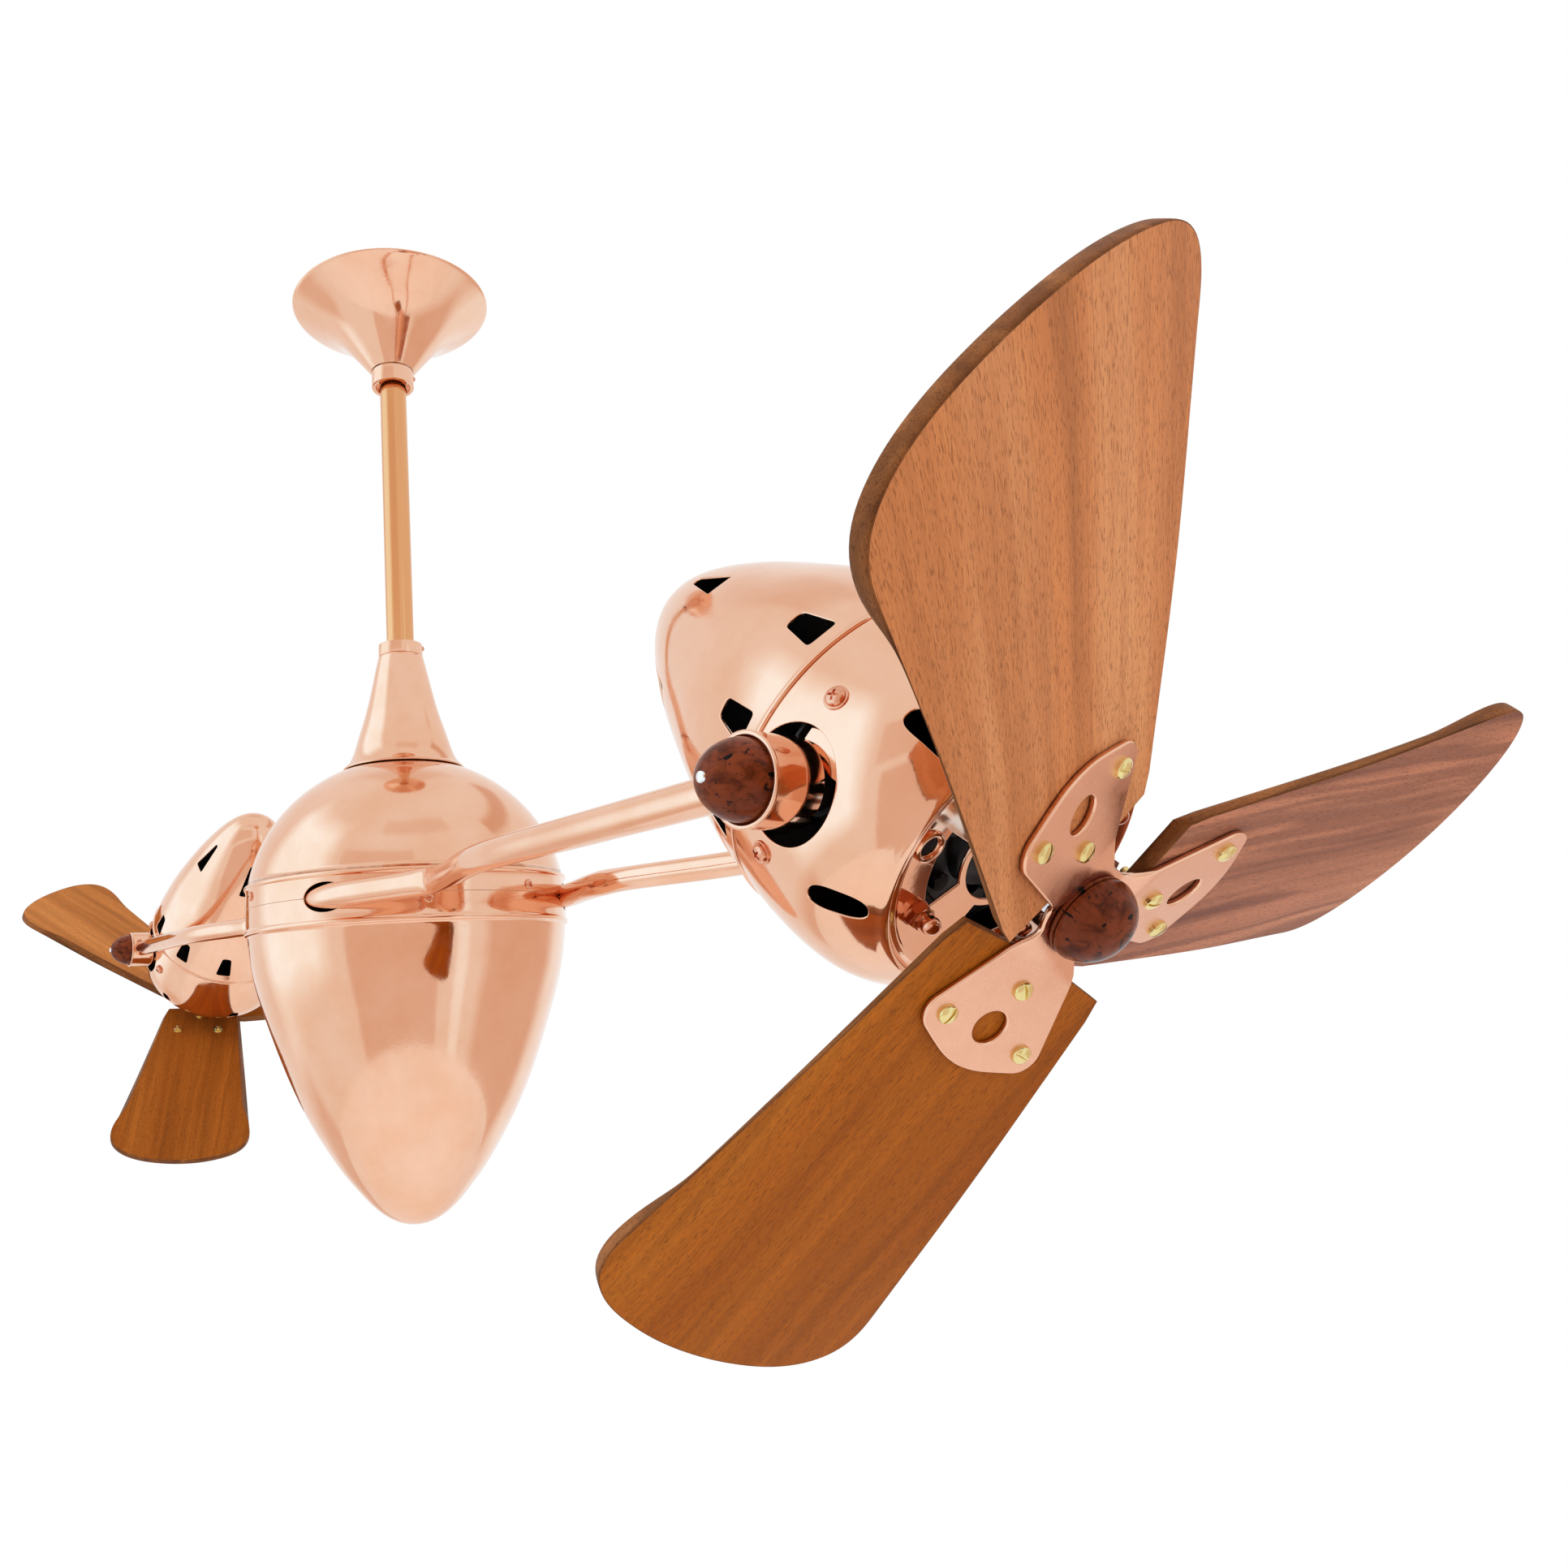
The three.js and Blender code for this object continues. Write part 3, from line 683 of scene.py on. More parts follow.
# Heights of the neck's pieces are above the middle of the pod's band.
neck = {"sheet": 1.4, "collarAt": 200.2, "screwAt": 202.2, "screwTurn": 65,
        "bell": [(17.4, 195), (19.8, 185), (24, 166), (29.2, 146), (35.2, 127), (42.3, 109.5), (45.6, 105.6)]}
canopyLoop = rounded([(17.2, 6.6), (11.2, 6.6), (10.95, -2), (13.8, -2), (13.8, -5.6), (14.3, -6.5), (17.2, -6.5)],
                     0.6)
neckLoop = rounded([(17.2, 4.8), (10.95, 4.8), (10.95, -4.9), (17.2, -4.9)], 0.7)
screwWay = turn("Z", neck["screwTurn"]) @ turn("Y", 90)
setHole = moved(moved(turned([(0, 8), (2.3, 8), (2.3, 20), (0, 20)], 20), screwWay), shift(0, 0, 2))
setStem = turned([(0, 11.1), (1.7, 11.1), (1.7, 16.4), (0, 16.4)], 20)
setScrewMesh = meshOf("setScrew", joined([moved(screwHead(2.0, 2.4, 1, 0.6, 0.9, 24), shift(0, 0, 16.2)), setStem]))
canopyCollar = meshOf("canopyCollar", carved(turned(canopyLoop, 72), [setHole]))
neckCollar = meshOf("neckCollar", carved(turned(neckLoop, 72), [setHole]))
addPiece("canopy_collar_ring", canopyCollar, copper, "ceiling_set", shift(0, 0, canopy["collarAt"]),
         ["canopy_collar"])
addPiece("neck_collar_ring", neckCollar, copper, "ceiling_set", seam @ shift(0, 0, neck["collarAt"]),
         ["neck_collar"])
for name, height in (("canopy", canopy["screwAt"]), ("neck", seamHeight + neck["screwAt"])):
    addPiece(f"{name}_collar_screw", setScrewMesh, screwCopper, "ceiling_set", shift(0, 0, height) @ screwWay,
             [f"{name}_set_screw"])

rod = {"outside": 10.65, "inside": 8.2, "top": -14, "bottom": -380}
rodLoop = rounded([(rod["outside"], rod["top"]), (rod["inside"], rod["top"]), (rod["inside"], rod["bottom"]),
                   (rod["outside"], rod["bottom"])], 0.5)
addPiece("downrod_pipe", meshOf("downrodPipe", turned(rodLoop, 72)), rodCopper, "ceiling_set", None,
         ["downrod"])

bell = joinRuns([(16.2, 195.3), (17.2, 195.2)], splineThrough(neck["bell"], 60), [(46.4, 105.2)])
shell = pressedShell(bell, neck["sheet"], 128, spacing=3.5)
addPiece("neck_bell_sheet", meshOf("neckBell", shell), platedOpen, "ceiling_set", seam, ["neck_bell"])

def levelPlate(top):
    def place(spread2d):
        return (np.column_stack([spread2d, np.full(len(spread2d), top)]),
                np.tile([0.0, 0.0, 1.0], (len(spread2d), 1)))
    return place


def ringOutline(radius, count, centre=(0, 0)):
    return [(centre[0] + radius * math.cos(full * i / count), centre[1] + radius * math.sin(full * i / count))
            for i in range(count)]


def slotOutline(centre, length, width):
    points = []
    for sign, start in ((1, -90), (-1, 90)):
        for k in range(9):
            t = math.radians(start + 22.5 * k)
            points.append((centre + sign * (length - width) / 2 + width / 2 * math.cos(t), width / 2 * math.sin(t)))
    return points


# The hanger, hidden once the fan is up: a flat bar with a socket, and the ball in it.
hanger = {"barLength": 120, "barWidth": 34, "barSheet": 3, "cornerRadius": 4, "screwSlotAt": 49,
          "ballRadius": 17.5, "ballAt": -28.6}
cornerX = hanger["barLength"] / 2 - hanger["cornerRadius"]
cornerY = hanger["barWidth"] / 2 - hanger["cornerRadius"]
barOutline = []
for cx, cy, start in ((cornerX, cornerY, 0), (-cornerX, cornerY, 90), (-cornerX, -cornerY, 180),
                      (cornerX, -cornerY, 270)):
    for k in range(5):
        t = math.radians(start + 22.5 * k)
        barOutline.append((cx + hanger["cornerRadius"] * math.cos(t), cy + hanger["cornerRadius"] * math.sin(t)))
flatBar = np.array([(x, y) for x in np.linspace(-58, 58, 30) for y in np.linspace(-15, 15, 9)])
barCuts = [slotOutline(hanger["screwSlotAt"], 14, 5.2), slotOutline(-hanger["screwSlotAt"], 14, 5.2),
           ringOutline(5, 28, (33, 0)), ringOutline(20, 48)]
barPlate = formedSheet(flatBar, barCuts, levelPlate(0), hanger["barSheet"], 0.5, 0.5, barOutline)
socketLoop = rounded([(24, -2.2), (20.5, -2.2), (20.5, -36), (19, -38), (15, -38), (15, -41), (22, -41), (24, -39)],
                     0.8)
addPiece("ceiling_bracket_plate", meshOf("bracketPlate", joined([barPlate, turned(socketLoop, 72)])), steel,
         "ceiling_set", None, ["ceiling_bracket"])
ballCurve = [(hanger["ballRadius"] * math.cos(t), hanger["ballAt"] + hanger["ballRadius"] * math.sin(t))
             for t in np.linspace(0.89, -0.89, 24)]
ballLoop = [(10.95, hanger["ballAt"] + 13.65)] + ballCurve + [(10.95, hanger["ballAt"] - 13.65)]
addPiece("hanger_ball_turned", meshOf("hangerBall", turned(ballLoop, 64)), plasticBlack, "ceiling_set", None,
         ["hanger_ball"])


print("pod")
# holeTurn: from the line between the heads to each tube; slant: of the tube there, to the band's surface.
pod = {
    "radius": 118.7, "domeHeight": 112, "sheet": 1.4, "holeRadius": 10.2, "holeTurn": 52.4, "slant": 53,
    "gap": 0.25,
    "upperBead": [(117.3, 17.6), (118.3, 17.1), (119.4, 16.6), (119.9, 15.6), (119.6, 14.3), (118.8, 13.6)],
    "lowerBead": [(118.8, -15.0), (119.6, -15.9), (119.9, -17.2), (119.3, -18.5), (118.2, -19.2)],
    "egg": [(117.7, -20.6), (116.3, -32), (112.4, -53), (104.5, -79), (90.6, -117), (77.0, -147),
            (63.4, -170.5), (50.0, -190.3), (38.6, -204.0), (28.5, -214.6), (19.0, -221.6), (9.6, -225.7),
            (0, -226.9)],
    "screws": [(-18.4, -4.6), (19.5, 5.0), (-92.6, 8.0), (161.6, -4.6), (199.5, 5.0), (87.4, 8.0)],
}
bandRadius = pod["radius"]
dome = [(r, pod["domeHeight"] * math.sqrt(1 - (r / bandRadius) ** 2)) for r in np.linspace(26, 116.6, 60)]
upperProfile = joinRuns(dome, splineThrough(pod["upperBead"], 16),
                        [(bandRadius, 13.0), (bandRadius, 10), (bandRadius, 5), (bandRadius, pod["gap"])])
lowerProfile = joinRuns([(bandRadius, -pod["gap"]), (bandRadius, -5), (bandRadius, -10), (bandRadius, -14.4)],
                        splineThrough(pod["lowerBead"], 16), splineThrough(pod["egg"], 220, True))


def tubeNotches(profile, upper):
    # The openings where the tubes leave the band, cut half into each shell.
    loops = []
    edge = profileRun(profile)[-1] if upper else 0.0
    for middle in (pod["holeTurn"], -pod["holeTurn"], 180 - pod["holeTurn"], 180 + pod["holeTurn"]):
        # The tube crosses the band at a slant, so that the opening is wider than it is high.
        half = pod["holeRadius"] / math.cos(math.radians(pod["slant"]))
        points = []
        for k in range(25):
            t = math.pi * k / 24
            away = max(pod["holeRadius"] * math.sin(t) - (pod["gap"] if k not in (0, 24) else 0), 0)
            points.append((math.radians(middle) + half * math.cos(t) / bandRadius,
                           edge - away if upper else edge + away))
        loops.append(points)
    return loops


for name, meshName, node, profile, upper in (
        ("pod_upper_dome", "podUpper", "pod_upper_shell", upperProfile, True),
        ("pod_lower_egg", "podLower", "pod_lower_shell", lowerProfile, False)):
    shell = pressedShell(profile, pod["sheet"], 160, 0.0, tubeNotches(profile, upper), 0.2, 4.0)
    addPiece(name, meshOf(meshName, shell), plated, "carousel", seam, [node])

bandScrew = screwHead(3.4, 1.9, 2, 0.8, 1.0, 32)
bandScrews = []
for azimuth, height in pod["screws"]:
    seat = turn("Z", azimuth) @ shift(bandRadius, 0, height) @ turn("Y", 90)
    bandScrews.append(moved(bandScrew, seat @ turn("Z", azimuth * 3)))
addPiece("pod_band_screws", meshOf("bandScrews", joined(bandScrews)), screwCopper, "carousel", seam, ())


print("arms")
# reach: from the downrod to the tilt axis; route: (outwards, aside) along each tube's middle line.
arms = {
    "reach": 490.7, "radius": 7.7, "rings": 160, "around": 32,
    "route": [(22, 94), (58, 93.5), (75, 91.5), (105, 83), (150, 68.5), (172, 64.5), (195, 66.5), (225, 74.5),
              (262, 84.5), (290, 88), (340, 88.5), (475, 88)],
    "straightFrom": 340, "straightAside": 88.5, "bendAt": 171, "pinchLength": 13.0, "creaseLength": 5.0,
    "creaseDepth": 1.5, "swell": 0.8, "swellTo": 165,
}


def armTube(side):
    line = splineThrough([(x, side * y, 0) for x, y in arms["route"]], arms["rings"])
    straight = line[:, 0] > arms["straightFrom"]
    line[straight, 1] = side * (arms["straightAside"] - 0.5 * (line[straight, 0] - arms["straightFrom"]) / 135)
    ahead = np.gradient(line, axis=0)
    ahead /= np.linalg.norm(ahead, axis=1)[:, None]
    verts, faces = [], []
    count = arms["around"]
    for (x, y, z), (dx, dy, _) in zip(line, ahead):
        # Bent tube narrows and folds on the inside of its bend, and is a little fatter next to the pod.
        pinch = math.exp(-((x - arms["bendAt"]) / arms["pinchLength"]) ** 2)
        crease = math.exp(-((x - arms["bendAt"]) / arms["creaseLength"]) ** 2)
        swell = arms["swell"] / (1 + math.exp((x - arms["swellTo"]) / 7))
        wide = (arms["radius"] + swell) * (1 - 0.16 * pinch)
        tall = (arms["radius"] + swell) * (1 + 0.06 * pinch)
        for k in range(count):
            t = full * k / count
            across, up = math.cos(t), math.sin(t)
            aside = wide * across - side * arms["creaseDepth"] * crease * max(0.0, side * across) ** 2
            verts.append((x - dy * aside, y + dx * aside, z + tall * up))
    for i in range(len(line) - 1):
        for k in range(count):
            j = (k + 1) % count
            faces.append((i * count + k, i * count + j, (i + 1) * count + j, (i + 1) * count + k))
    faces.append(list(range(count)))
    faces.append(list(range((len(line) - 1) * count, len(line) * count)))
    return np.array(verts), faces, None


# Heights on a knuckle run outwards from the middle of its head.
knuckles = {
    "cup": [(17.7, 73.8), (17.7, 95.6), (18.1, 96.2), (18.1, 96.9), (17.5, 97.4), (16.3, 97.4), (15.9, 96.6),
            (15.9, 85), (6.3, 85), (6.3, 73.8)],
    "knob": [(15.6, 97.5), (15.3, 100.5), (14.2, 104.3), (12.3, 108), (9.6, 111.4), (6.4, 114), (3.2, 115.5),
             (0, 116)],
    "pin": [(0, 114.4), (2.3, 114.4), (2.4, 115.6), (2.1, 116.4), (1.3, 116.9), (0, 117)],
    "stub": [(0, 47.2), (9, 47.2), (9, 76.4), (6, 76.4), (6, 90.4), (0, 90.4)],
    "screwAt": 90, "screwTurn": 25,
}
cupScrew = screwHead(2.6, 1.5, 1, 0.6, 0.8, 24)
tubeMeshes = {side: meshOf(f"armTube{side}", armTube(side), 60) for side in (1, -1)}
cupMesh = meshOf("knuckleCup", turned(rounded(knuckles["cup"], 0.5, 3), 96))
knobLoop = joinRuns([(0, 91), (15.0, 91), (15.6, 91.6)], splineThrough(knuckles["knob"], 40, True))
knobMesh = meshOf("knuckleKnob", turned(knobLoop, 72))
pinMesh = meshOf("knobPin", turned(knuckles["pin"], 32))
stubMesh = meshOf("pivotStub", turned(rounded(knuckles["stub"], 0.6), 48))
headTurn = {"right": 0, "left": 180}


def sideName(head, side):
    return "front" if (head == "right") == (side < 0) else "back"


for head in ("right", "left"):
    place = seam @ turn("Z", headTurn[head])
    for side in (1, -1):
        name = f"{head}_{sideName(head, side)}"
        knuckle = place @ shift(arms["reach"]) @ turn("X", -90 * side)
        addPiece(f"{name}_tube", tubeMeshes[side], copper, "carousel", place, [f"{name}_arm_tube"])
        addPiece(f"{name}_cup", cupMesh, copper, "carousel", knuckle, [f"{name}_knuckle_cup"])
        addPiece(f"{name}_knob", knobMesh, burls["knob"], "carousel", knuckle, [f"{name}_knuckle_knob"])
        addPiece(f"{name}_knob_pin", pinMesh, nickel, "carousel", knuckle, ())
        seat = turn("Z", 180 + side * knuckles["screwTurn"]) @ shift(17.6, 0, knuckles["screwAt"]) @ turn("Y", 90)
        screw = meshOf(f"{name}CupScrew", moved(cupScrew, seat))
        addPiece(f"{name}_cup_screw", screw, screwCopper, "carousel", knuckle, ())


print("heads")
# restTilt: how far a head leans at rest from facing straight outwards.
# Azimuths on a head are seen from its rotor, clockwise from straight up; first is one of each ring's azimuths.
caps = {
    "sheet": 1.4, "restTilt": 41.1, "rearJoin": -34, "frontJoin": -66,
    "rearLip": [(75.6, -23.3), (76.3, -23.6), (76.5, -24.2), (76.3, -24.9), (75.65, -25.3)],
    "rearEgg": [(75.4, -25.8), (74.9, -30.2), (73.7, -40), (70.9, -55), (65.2, -79), (58.0, -102),
                (50.8, -122.5), (43.0, -141.0), (34.5, -158.0), (25.5, -171.6), (16.2, -180.3), (8.0, -184.0),
                (0, -185)],
    "face": [(20, 45.3), (30, 45.3), (40, 45.3), (50.6, 45.3)],
    "faceBead": [(51.3, 45.4), (52.1, 46.0), (53.0, 46.5), (54.0, 46.2), (54.8, 45.9), (55.8, 47.0),
                 (57.0, 48.5), (58.4, 48.9), (59.8, 48.0), (60.9, 46.6)],
    "shoulder": [(61.5, 45.9), (66.2, 40.9), (70.6, 34.6), (73.9, 27.3), (76.0, 18.6), (77.0, 9), (77.2, 0),
                 (76.7, -13), (75.8, -22.6)],
    "seamSlots": dict(count=10, first=-50, height=-42.6, radius=73.0),
    "noseSlots": dict(count=5, first=-47.5, height=-138, radius=43.0),
    "kidneys": dict(count=6, first=-115, height=35.0, radius=70.0, length=12.0, width=6.6, waist=2.3),
    "windows": dict(count=4, first=-103, outside=38.5, inside=22.5),
    "eyelets": dict(count=4, first=-86.7, radius=45, hole=4.4),
    "acorns": dict(count=4, first=-125, radius=43.5),
    "pivot": dict(radius=23.8, height=1.0, squash=0.955),
    "screws": (-114, -63, 63, 114), "screwRadius": 77.1, "screwHeight": -1.5,
}
faceHeight = caps["face"][0][1]


def headPlace(head):
    return seam @ turn("Z", headTurn[head]) @ shift(arms["reach"]) @ turn("Y", 90 + caps["restTilt"])


def upTurned(azimuth):
    return 180 - azimuth


def turnsOf(ring):
    return [upTurned(ring["first"] + 360 * k / ring["count"]) for k in range(ring["count"])]


def softCorners(outline, size, steps=4):
    # Shifted aside and back, because rounded() leaves corners on the axis sharp.
    return np.array(rounded([(x + 500, y) for x, y in outline], size, steps)) - np.array([500, 0])


rearProfile = joinRuns([(74.4, -23.2), (75.2, -23.25)], splineThrough(caps["rearLip"], 12),
                       splineThrough(caps["rearEgg"], 200, True))
rearRun = profileRun(rearProfile)
frontProfile = joinRuns(caps["face"], splineThrough(caps["faceBead"], 34), splineThrough(caps["shoulder"], 90),
                        [(75.3, -23.0)])
frontRun = profileRun(frontProfile)
slopeFrom = int(np.argmax(frontProfile[:, 0] > 61.4))  # where the face ends and the shoulder starts


def alongRear(height):
    return float(np.interp(-height, -rearProfile[:, 1], rearRun))


def alongFront(height):
    return float(np.interp(-height, -frontProfile[slopeFrom:, 1], frontRun[slopeFrom:]))


def onFace(radius):
    return float(np.interp(radius, frontProfile[:slopeFrom, 0], frontRun[:slopeFrom]))


# Two rings of tapered slots in the rear cap: (along the cap, aside).
seamSlot = softCorners([(-11, -7.6), (-11, 7.6), (10.5, 4.8), (10.5, -4.8)], 3.2)
noseSlot = softCorners([(-17, -6.4), (-17, 6.4), (16, 2.6), (16, -2.6)], 2.4)
rearCuts = []
for ring, slot in ((caps["seamSlots"], seamSlot), (caps["noseSlots"], noseSlot)):
    for angle in turnsOf(ring):
        rearCuts.append([(math.radians(angle) + aside / ring["radius"], alongRear(ring["height"]) + along)
                         for along, aside in slot])
rearShell = pressedShell(rearProfile, caps["sheet"], 128, math.radians(upTurned(caps["rearJoin"])) - full, rearCuts,
                         bulge=0.35, spacing=4.5)
rearMesh = meshOf("rearCap", rearShell)

frontCuts = []
kidney = caps["kidneys"]
for angle in turnsOf(kidney):
    bean = []
    for i in range(40):
        t = full * i / 40
        along = kidney["length"] * math.copysign(abs(math.cos(t)) ** 0.8, math.cos(t))
        aside = kidney["width"] * math.copysign(abs(math.sin(t)) ** 0.85, math.sin(t))
        if aside > 0:
            aside -= kidney["waist"] * (1 - (along / kidney["length"]) ** 2)
        bean.append((math.radians(angle) + aside / kidney["radius"], alongFront(kidney["height"]) + along))
    frontCuts.append(bean)
window = []
for radius, angles in ((caps["windows"]["outside"], np.linspace(-27, 27, 15)),
                       (caps["windows"]["inside"], np.linspace(23, -23, 9))):
    window += [(radius * math.radians(angle), radius) for angle in angles]
window = softCorners(window, 2.4)
for angle in turnsOf(caps["windows"]):
    frontCuts.append([(math.radians(angle) + aside / r, onFace(r)) for aside, r in window])
eyelets = []
eyelet = caps["eyelets"]
for angle in turnsOf(eyelet):
    middle, radius, hole = math.radians(angle), eyelet["radius"], eyelet["hole"]
    frontCuts.append([(middle + hole * math.sin(t) / radius, onFace(radius + hole * math.cos(t)))
                      for t in np.linspace(0, full, 25)[:-1]])
    eyelets.append(turn("Z", angle) @ shift(radius, 0, faceHeight))
pivot = caps["pivot"]
for side in (1, -1):
    outline = []
    for t in np.linspace(0, full, 61)[:-1]:
        x = pivot["radius"] * math.cos(t)
        z = pivot["height"] + pivot["radius"] * pivot["squash"] * math.sin(t)
        radius = float(np.interp(-z, -frontProfile[slopeFrom:, 1], frontProfile[slopeFrom:, 0]))
        outline.append((math.atan2(side * math.sqrt(radius ** 2 - x ** 2), x), alongFront(z)))
    frontCuts.append(outline)
frontShell = pressedShell(frontProfile, caps["sheet"], 144, math.radians(upTurned(caps["frontJoin"])) - full,
                          frontCuts, bulge=0.35, spacing=4.0)
frontMesh = meshOf("frontCap", frontShell)

# Small parts on the caps: eyelets and acorn nuts on the face, cross screws round the shoulder.
ringLoop = [(5.4 + 1.1 * math.cos(t), 0.35 + 0.9 * math.sin(t)) for t in np.linspace(0, full, 13)[:-1]]
eyeletMesh = meshOf("faceEyelets", joined([moved(turned(ringLoop, 40), seat) for seat in eyelets]))

nutBody = moved(hexNut(9.4, 4.6), shift(0, 0, 1))
nutFlange = turned(joinRuns([(0, 0), (5.6, 0), (5.6, 1.0), (0, 1.0)]), 36)
crown = turned(joinRuns([(0, 5.7), (4.0, 5.7), (4.0, 6.6), (3.4, 7.2)],
                        [(3.7 * math.cos(t), 9.0 + 3.7 * math.sin(t)) for t in np.linspace(-0.3, math.pi / 2, 12)]), 36)
nuts = []
for angle in turnsOf(caps["acorns"]):
    seat = turn("Z", angle) @ shift(caps["acorns"]["radius"], 0, faceHeight)
    nuts += [moved(part, seat) for part in (nutFlange, nutBody, crown)]
acornMesh = meshOf("acornNuts", joined(nuts), 28)

panScrew = screwHead(4.0, 2.4, 2, 1.0, 1.3, 36)
washer = turned(rounded([(2, -0.1), (4.9, -0.1), (4.9, 0.7), (2, 0.7)], 0.3), 36)
capScrews = []
for azimuth in caps["screws"]:
    seat = turn("Z", upTurned(azimuth)) @ shift(caps["screwRadius"], 0, caps["screwHeight"]) @ turn("Y", 90)
    seat = seat @ turn("Z", azimuth)
    capScrews += [moved(washer, seat), moved(panScrew, seat @ shift(0, 0, 0.6))]
capScrewMesh = meshOf("capScrews", joined(capScrews))

# The motor: smooth shell, stepped end plates, bolt heads, and a can behind it that fills the nose.
motor = {
    "shell": [(0, -36), (14, -36), (15, -34.6), (27, -34.6), (28, -36), (38, -33.6), (43, -31.5), (46.5, -27),
              (47, -24), (47, 24), (46.5, 27), (43, 31.5), (38, 33.6), (35, 36), (31, 36.4), (30, 34.4),
              (19, 34.4), (18, 38.5), (12, 39.5), (7, 39.5), (6.4, 36), (0, 36)],
    "canRadius": 19, "canEnd": -148, "bolts": 6, "boltRadius": 25,
}
tailCan = rounded([(0, motor["canEnd"]), (motor["canRadius"], motor["canEnd"]), (motor["canRadius"], -36), (0, -36)],
                  2.0)
motorParts = [turned(rounded(motor["shell"], 0.5, 2), 96), turned(tailCan, 64)]
boltHead = hexNut(7, 3.2)
for k in range(motor["bolts"]):
    motorParts.append(moved(boltHead, turn("Z", 17 + 360 * k / motor["bolts"]) @ shift(motor["boltRadius"], 0, 34.2)))
motorMesh = meshOf("motorShell", joined(motorParts), 28)

# The cradle that holds the motor: a ring, a plate behind it, tabs to the cap screws, bosses for the pivots.
cradle = {"inside": 46.4, "outside": 50, "half": 7, "plateOutside": 72.0, "plateFrom": -11.0, "plateTo": -9.4}
cradleRing = rounded([(cradle["inside"], -cradle["half"]), (cradle["outside"], -cradle["half"]),
                      (cradle["outside"], cradle["half"]), (cradle["inside"], cradle["half"])], 0.8)
cradlePlate = rounded([(46.6, cradle["plateFrom"]), (cradle["plateOutside"], cradle["plateFrom"]),
                       (cradle["plateOutside"], cradle["plateTo"]), (46.6, cradle["plateTo"])], 0.4)
cradleParts = [turned(cradleRing, 96), turned(cradlePlate, 96)]
for azimuth in caps["screws"]:
    cradleParts.append(moved(block(47, 75.4, -4.2, 4.2, -3.6, -2.0), turn("Z", upTurned(azimuth))))
    cradleParts.append(moved(block(74.0, 75.4, -4.2, 4.2, -6.5, 4.5), turn("Z", upTurned(azimuth))))
boss = turned(rounded([(9.4, 47.8), (12, 47.8), (12, 60), (9.4, 60)], 0.6), 48)
cradleParts += [moved(boss, turn("X", -90 * side)) for side in (1, -1)]
cradleMesh = meshOf("motorCradle", joined(cradleParts))

# Copper saddles run inside the cap from each upper screw towards its pivot.
saddle = {"inside": 71.4, "outside": 73.0, "low": -5.0, "high": 22.0, "screwEnd": 58, "pivotEnd": 81, "steps": 28}


def saddleShape(start, end):
    verts, faces = [], []
    steps = saddle["steps"]
    for i in range(steps + 1):
        t = math.radians(upTurned(start + (end - start) * i / steps))
        for radius, height in ((saddle["inside"], saddle["low"]), (saddle["outside"], saddle["low"]),
                               (saddle["outside"], saddle["high"]), (saddle["inside"], saddle["high"])):
            verts.append((radius * math.cos(t), radius * math.sin(t), height))
    for i in range(steps):
        for k in range(4):
            faces.append((4 * i + k, 4 * i + (k + 1) % 4, 4 * i + 4 + (k + 1) % 4, 4 * i + 4 + k))
    faces += [(0, 1, 2, 3), (4 * steps, 4 * steps + 1, 4 * steps + 2, 4 * steps + 3)]
    return np.array(verts), faces, None


saddleMesh = meshOf("pivotSaddles", joined([saddleShape(-saddle["screwEnd"], -saddle["pivotEnd"]),
                                            saddleShape(saddle["pivotEnd"], saddle["screwEnd"])]))

for head in ("right", "left"):
    place = headPlace(head)
    body = f"{head}_head"
    addPiece(f"{head}_rear_shell", rearMesh, plated, body, place, [f"{head}_rear_cap"])
    addPiece(f"{head}_front_shell", frontMesh, plated, body, place, [f"{head}_front_cap"])
    addPiece(f"{head}_face_eyelets", eyeletMesh, copper, body, place, ())
    addPiece(f"{head}_acorn_nuts", acornMesh, screwCopper, body, place, ())
    addPiece(f"{head}_cap_screws", capScrewMesh, screwCopper, body, place, ())
    addPiece(f"{head}_motor_shell", motorMesh, motorBlack, body, place, [f"{head}_motor"])
    # The cradle takes the near-black finish: painted shade inside the head.
    addPiece(f"{head}_cradle", cradleMesh, insideShade, body, place, [f"{head}_motor_cradle"])
    addPiece(f"{head}_pivot_saddles", saddleMesh, copper, body, place, ())
    for side in (1, -1):
        stub = f"{head}_{sideName(head, side)}_pivot_stub"
        # The pivot stubs take the near-black finish: painted shade in the opening round each pivot.
        addPiece(f"{stub}_turned", stubMesh, insideShade, body, place @ turn("X", -90 * side), [stub])


print("rotors")
# pitch: of the blades, in degrees; start: azimuth of each rotor's first blade.
rotor = {"pitch": 13, "faceHeight": 82.8, "hubHeight": 81.4, "start": {"right": -40.9, "left": 163.1}}
pitch = math.radians(rotor["pitch"])
# Outlines are (away from the hub, aside), here and on the blades.
petal = {
    "sheet": 2.5, "hubRadius": 18.3, "foot": (13.6, -12.2), "sideFrom": (20.2, -15.75), "cornerRadius": 8.5,
    "edge": [(66.9, -14.2), (69.0, -7.0), (69.7, 0.0)], "holeAt": 52, "holeRadius": 7.5, "shaftHole": 5.9,
    "screws": [(34.4, 0.0), (55.1, 21.3), (55.1, -21.3)],
}


def smoothStep(x):
    x = np.clip(x, 0, 1)
    return x * x * x * (x * (6 * x - 15) + 10)


def bladeTurns(start):
    return [math.radians(upTurned(start + 120 * k)) for k in range(3)]


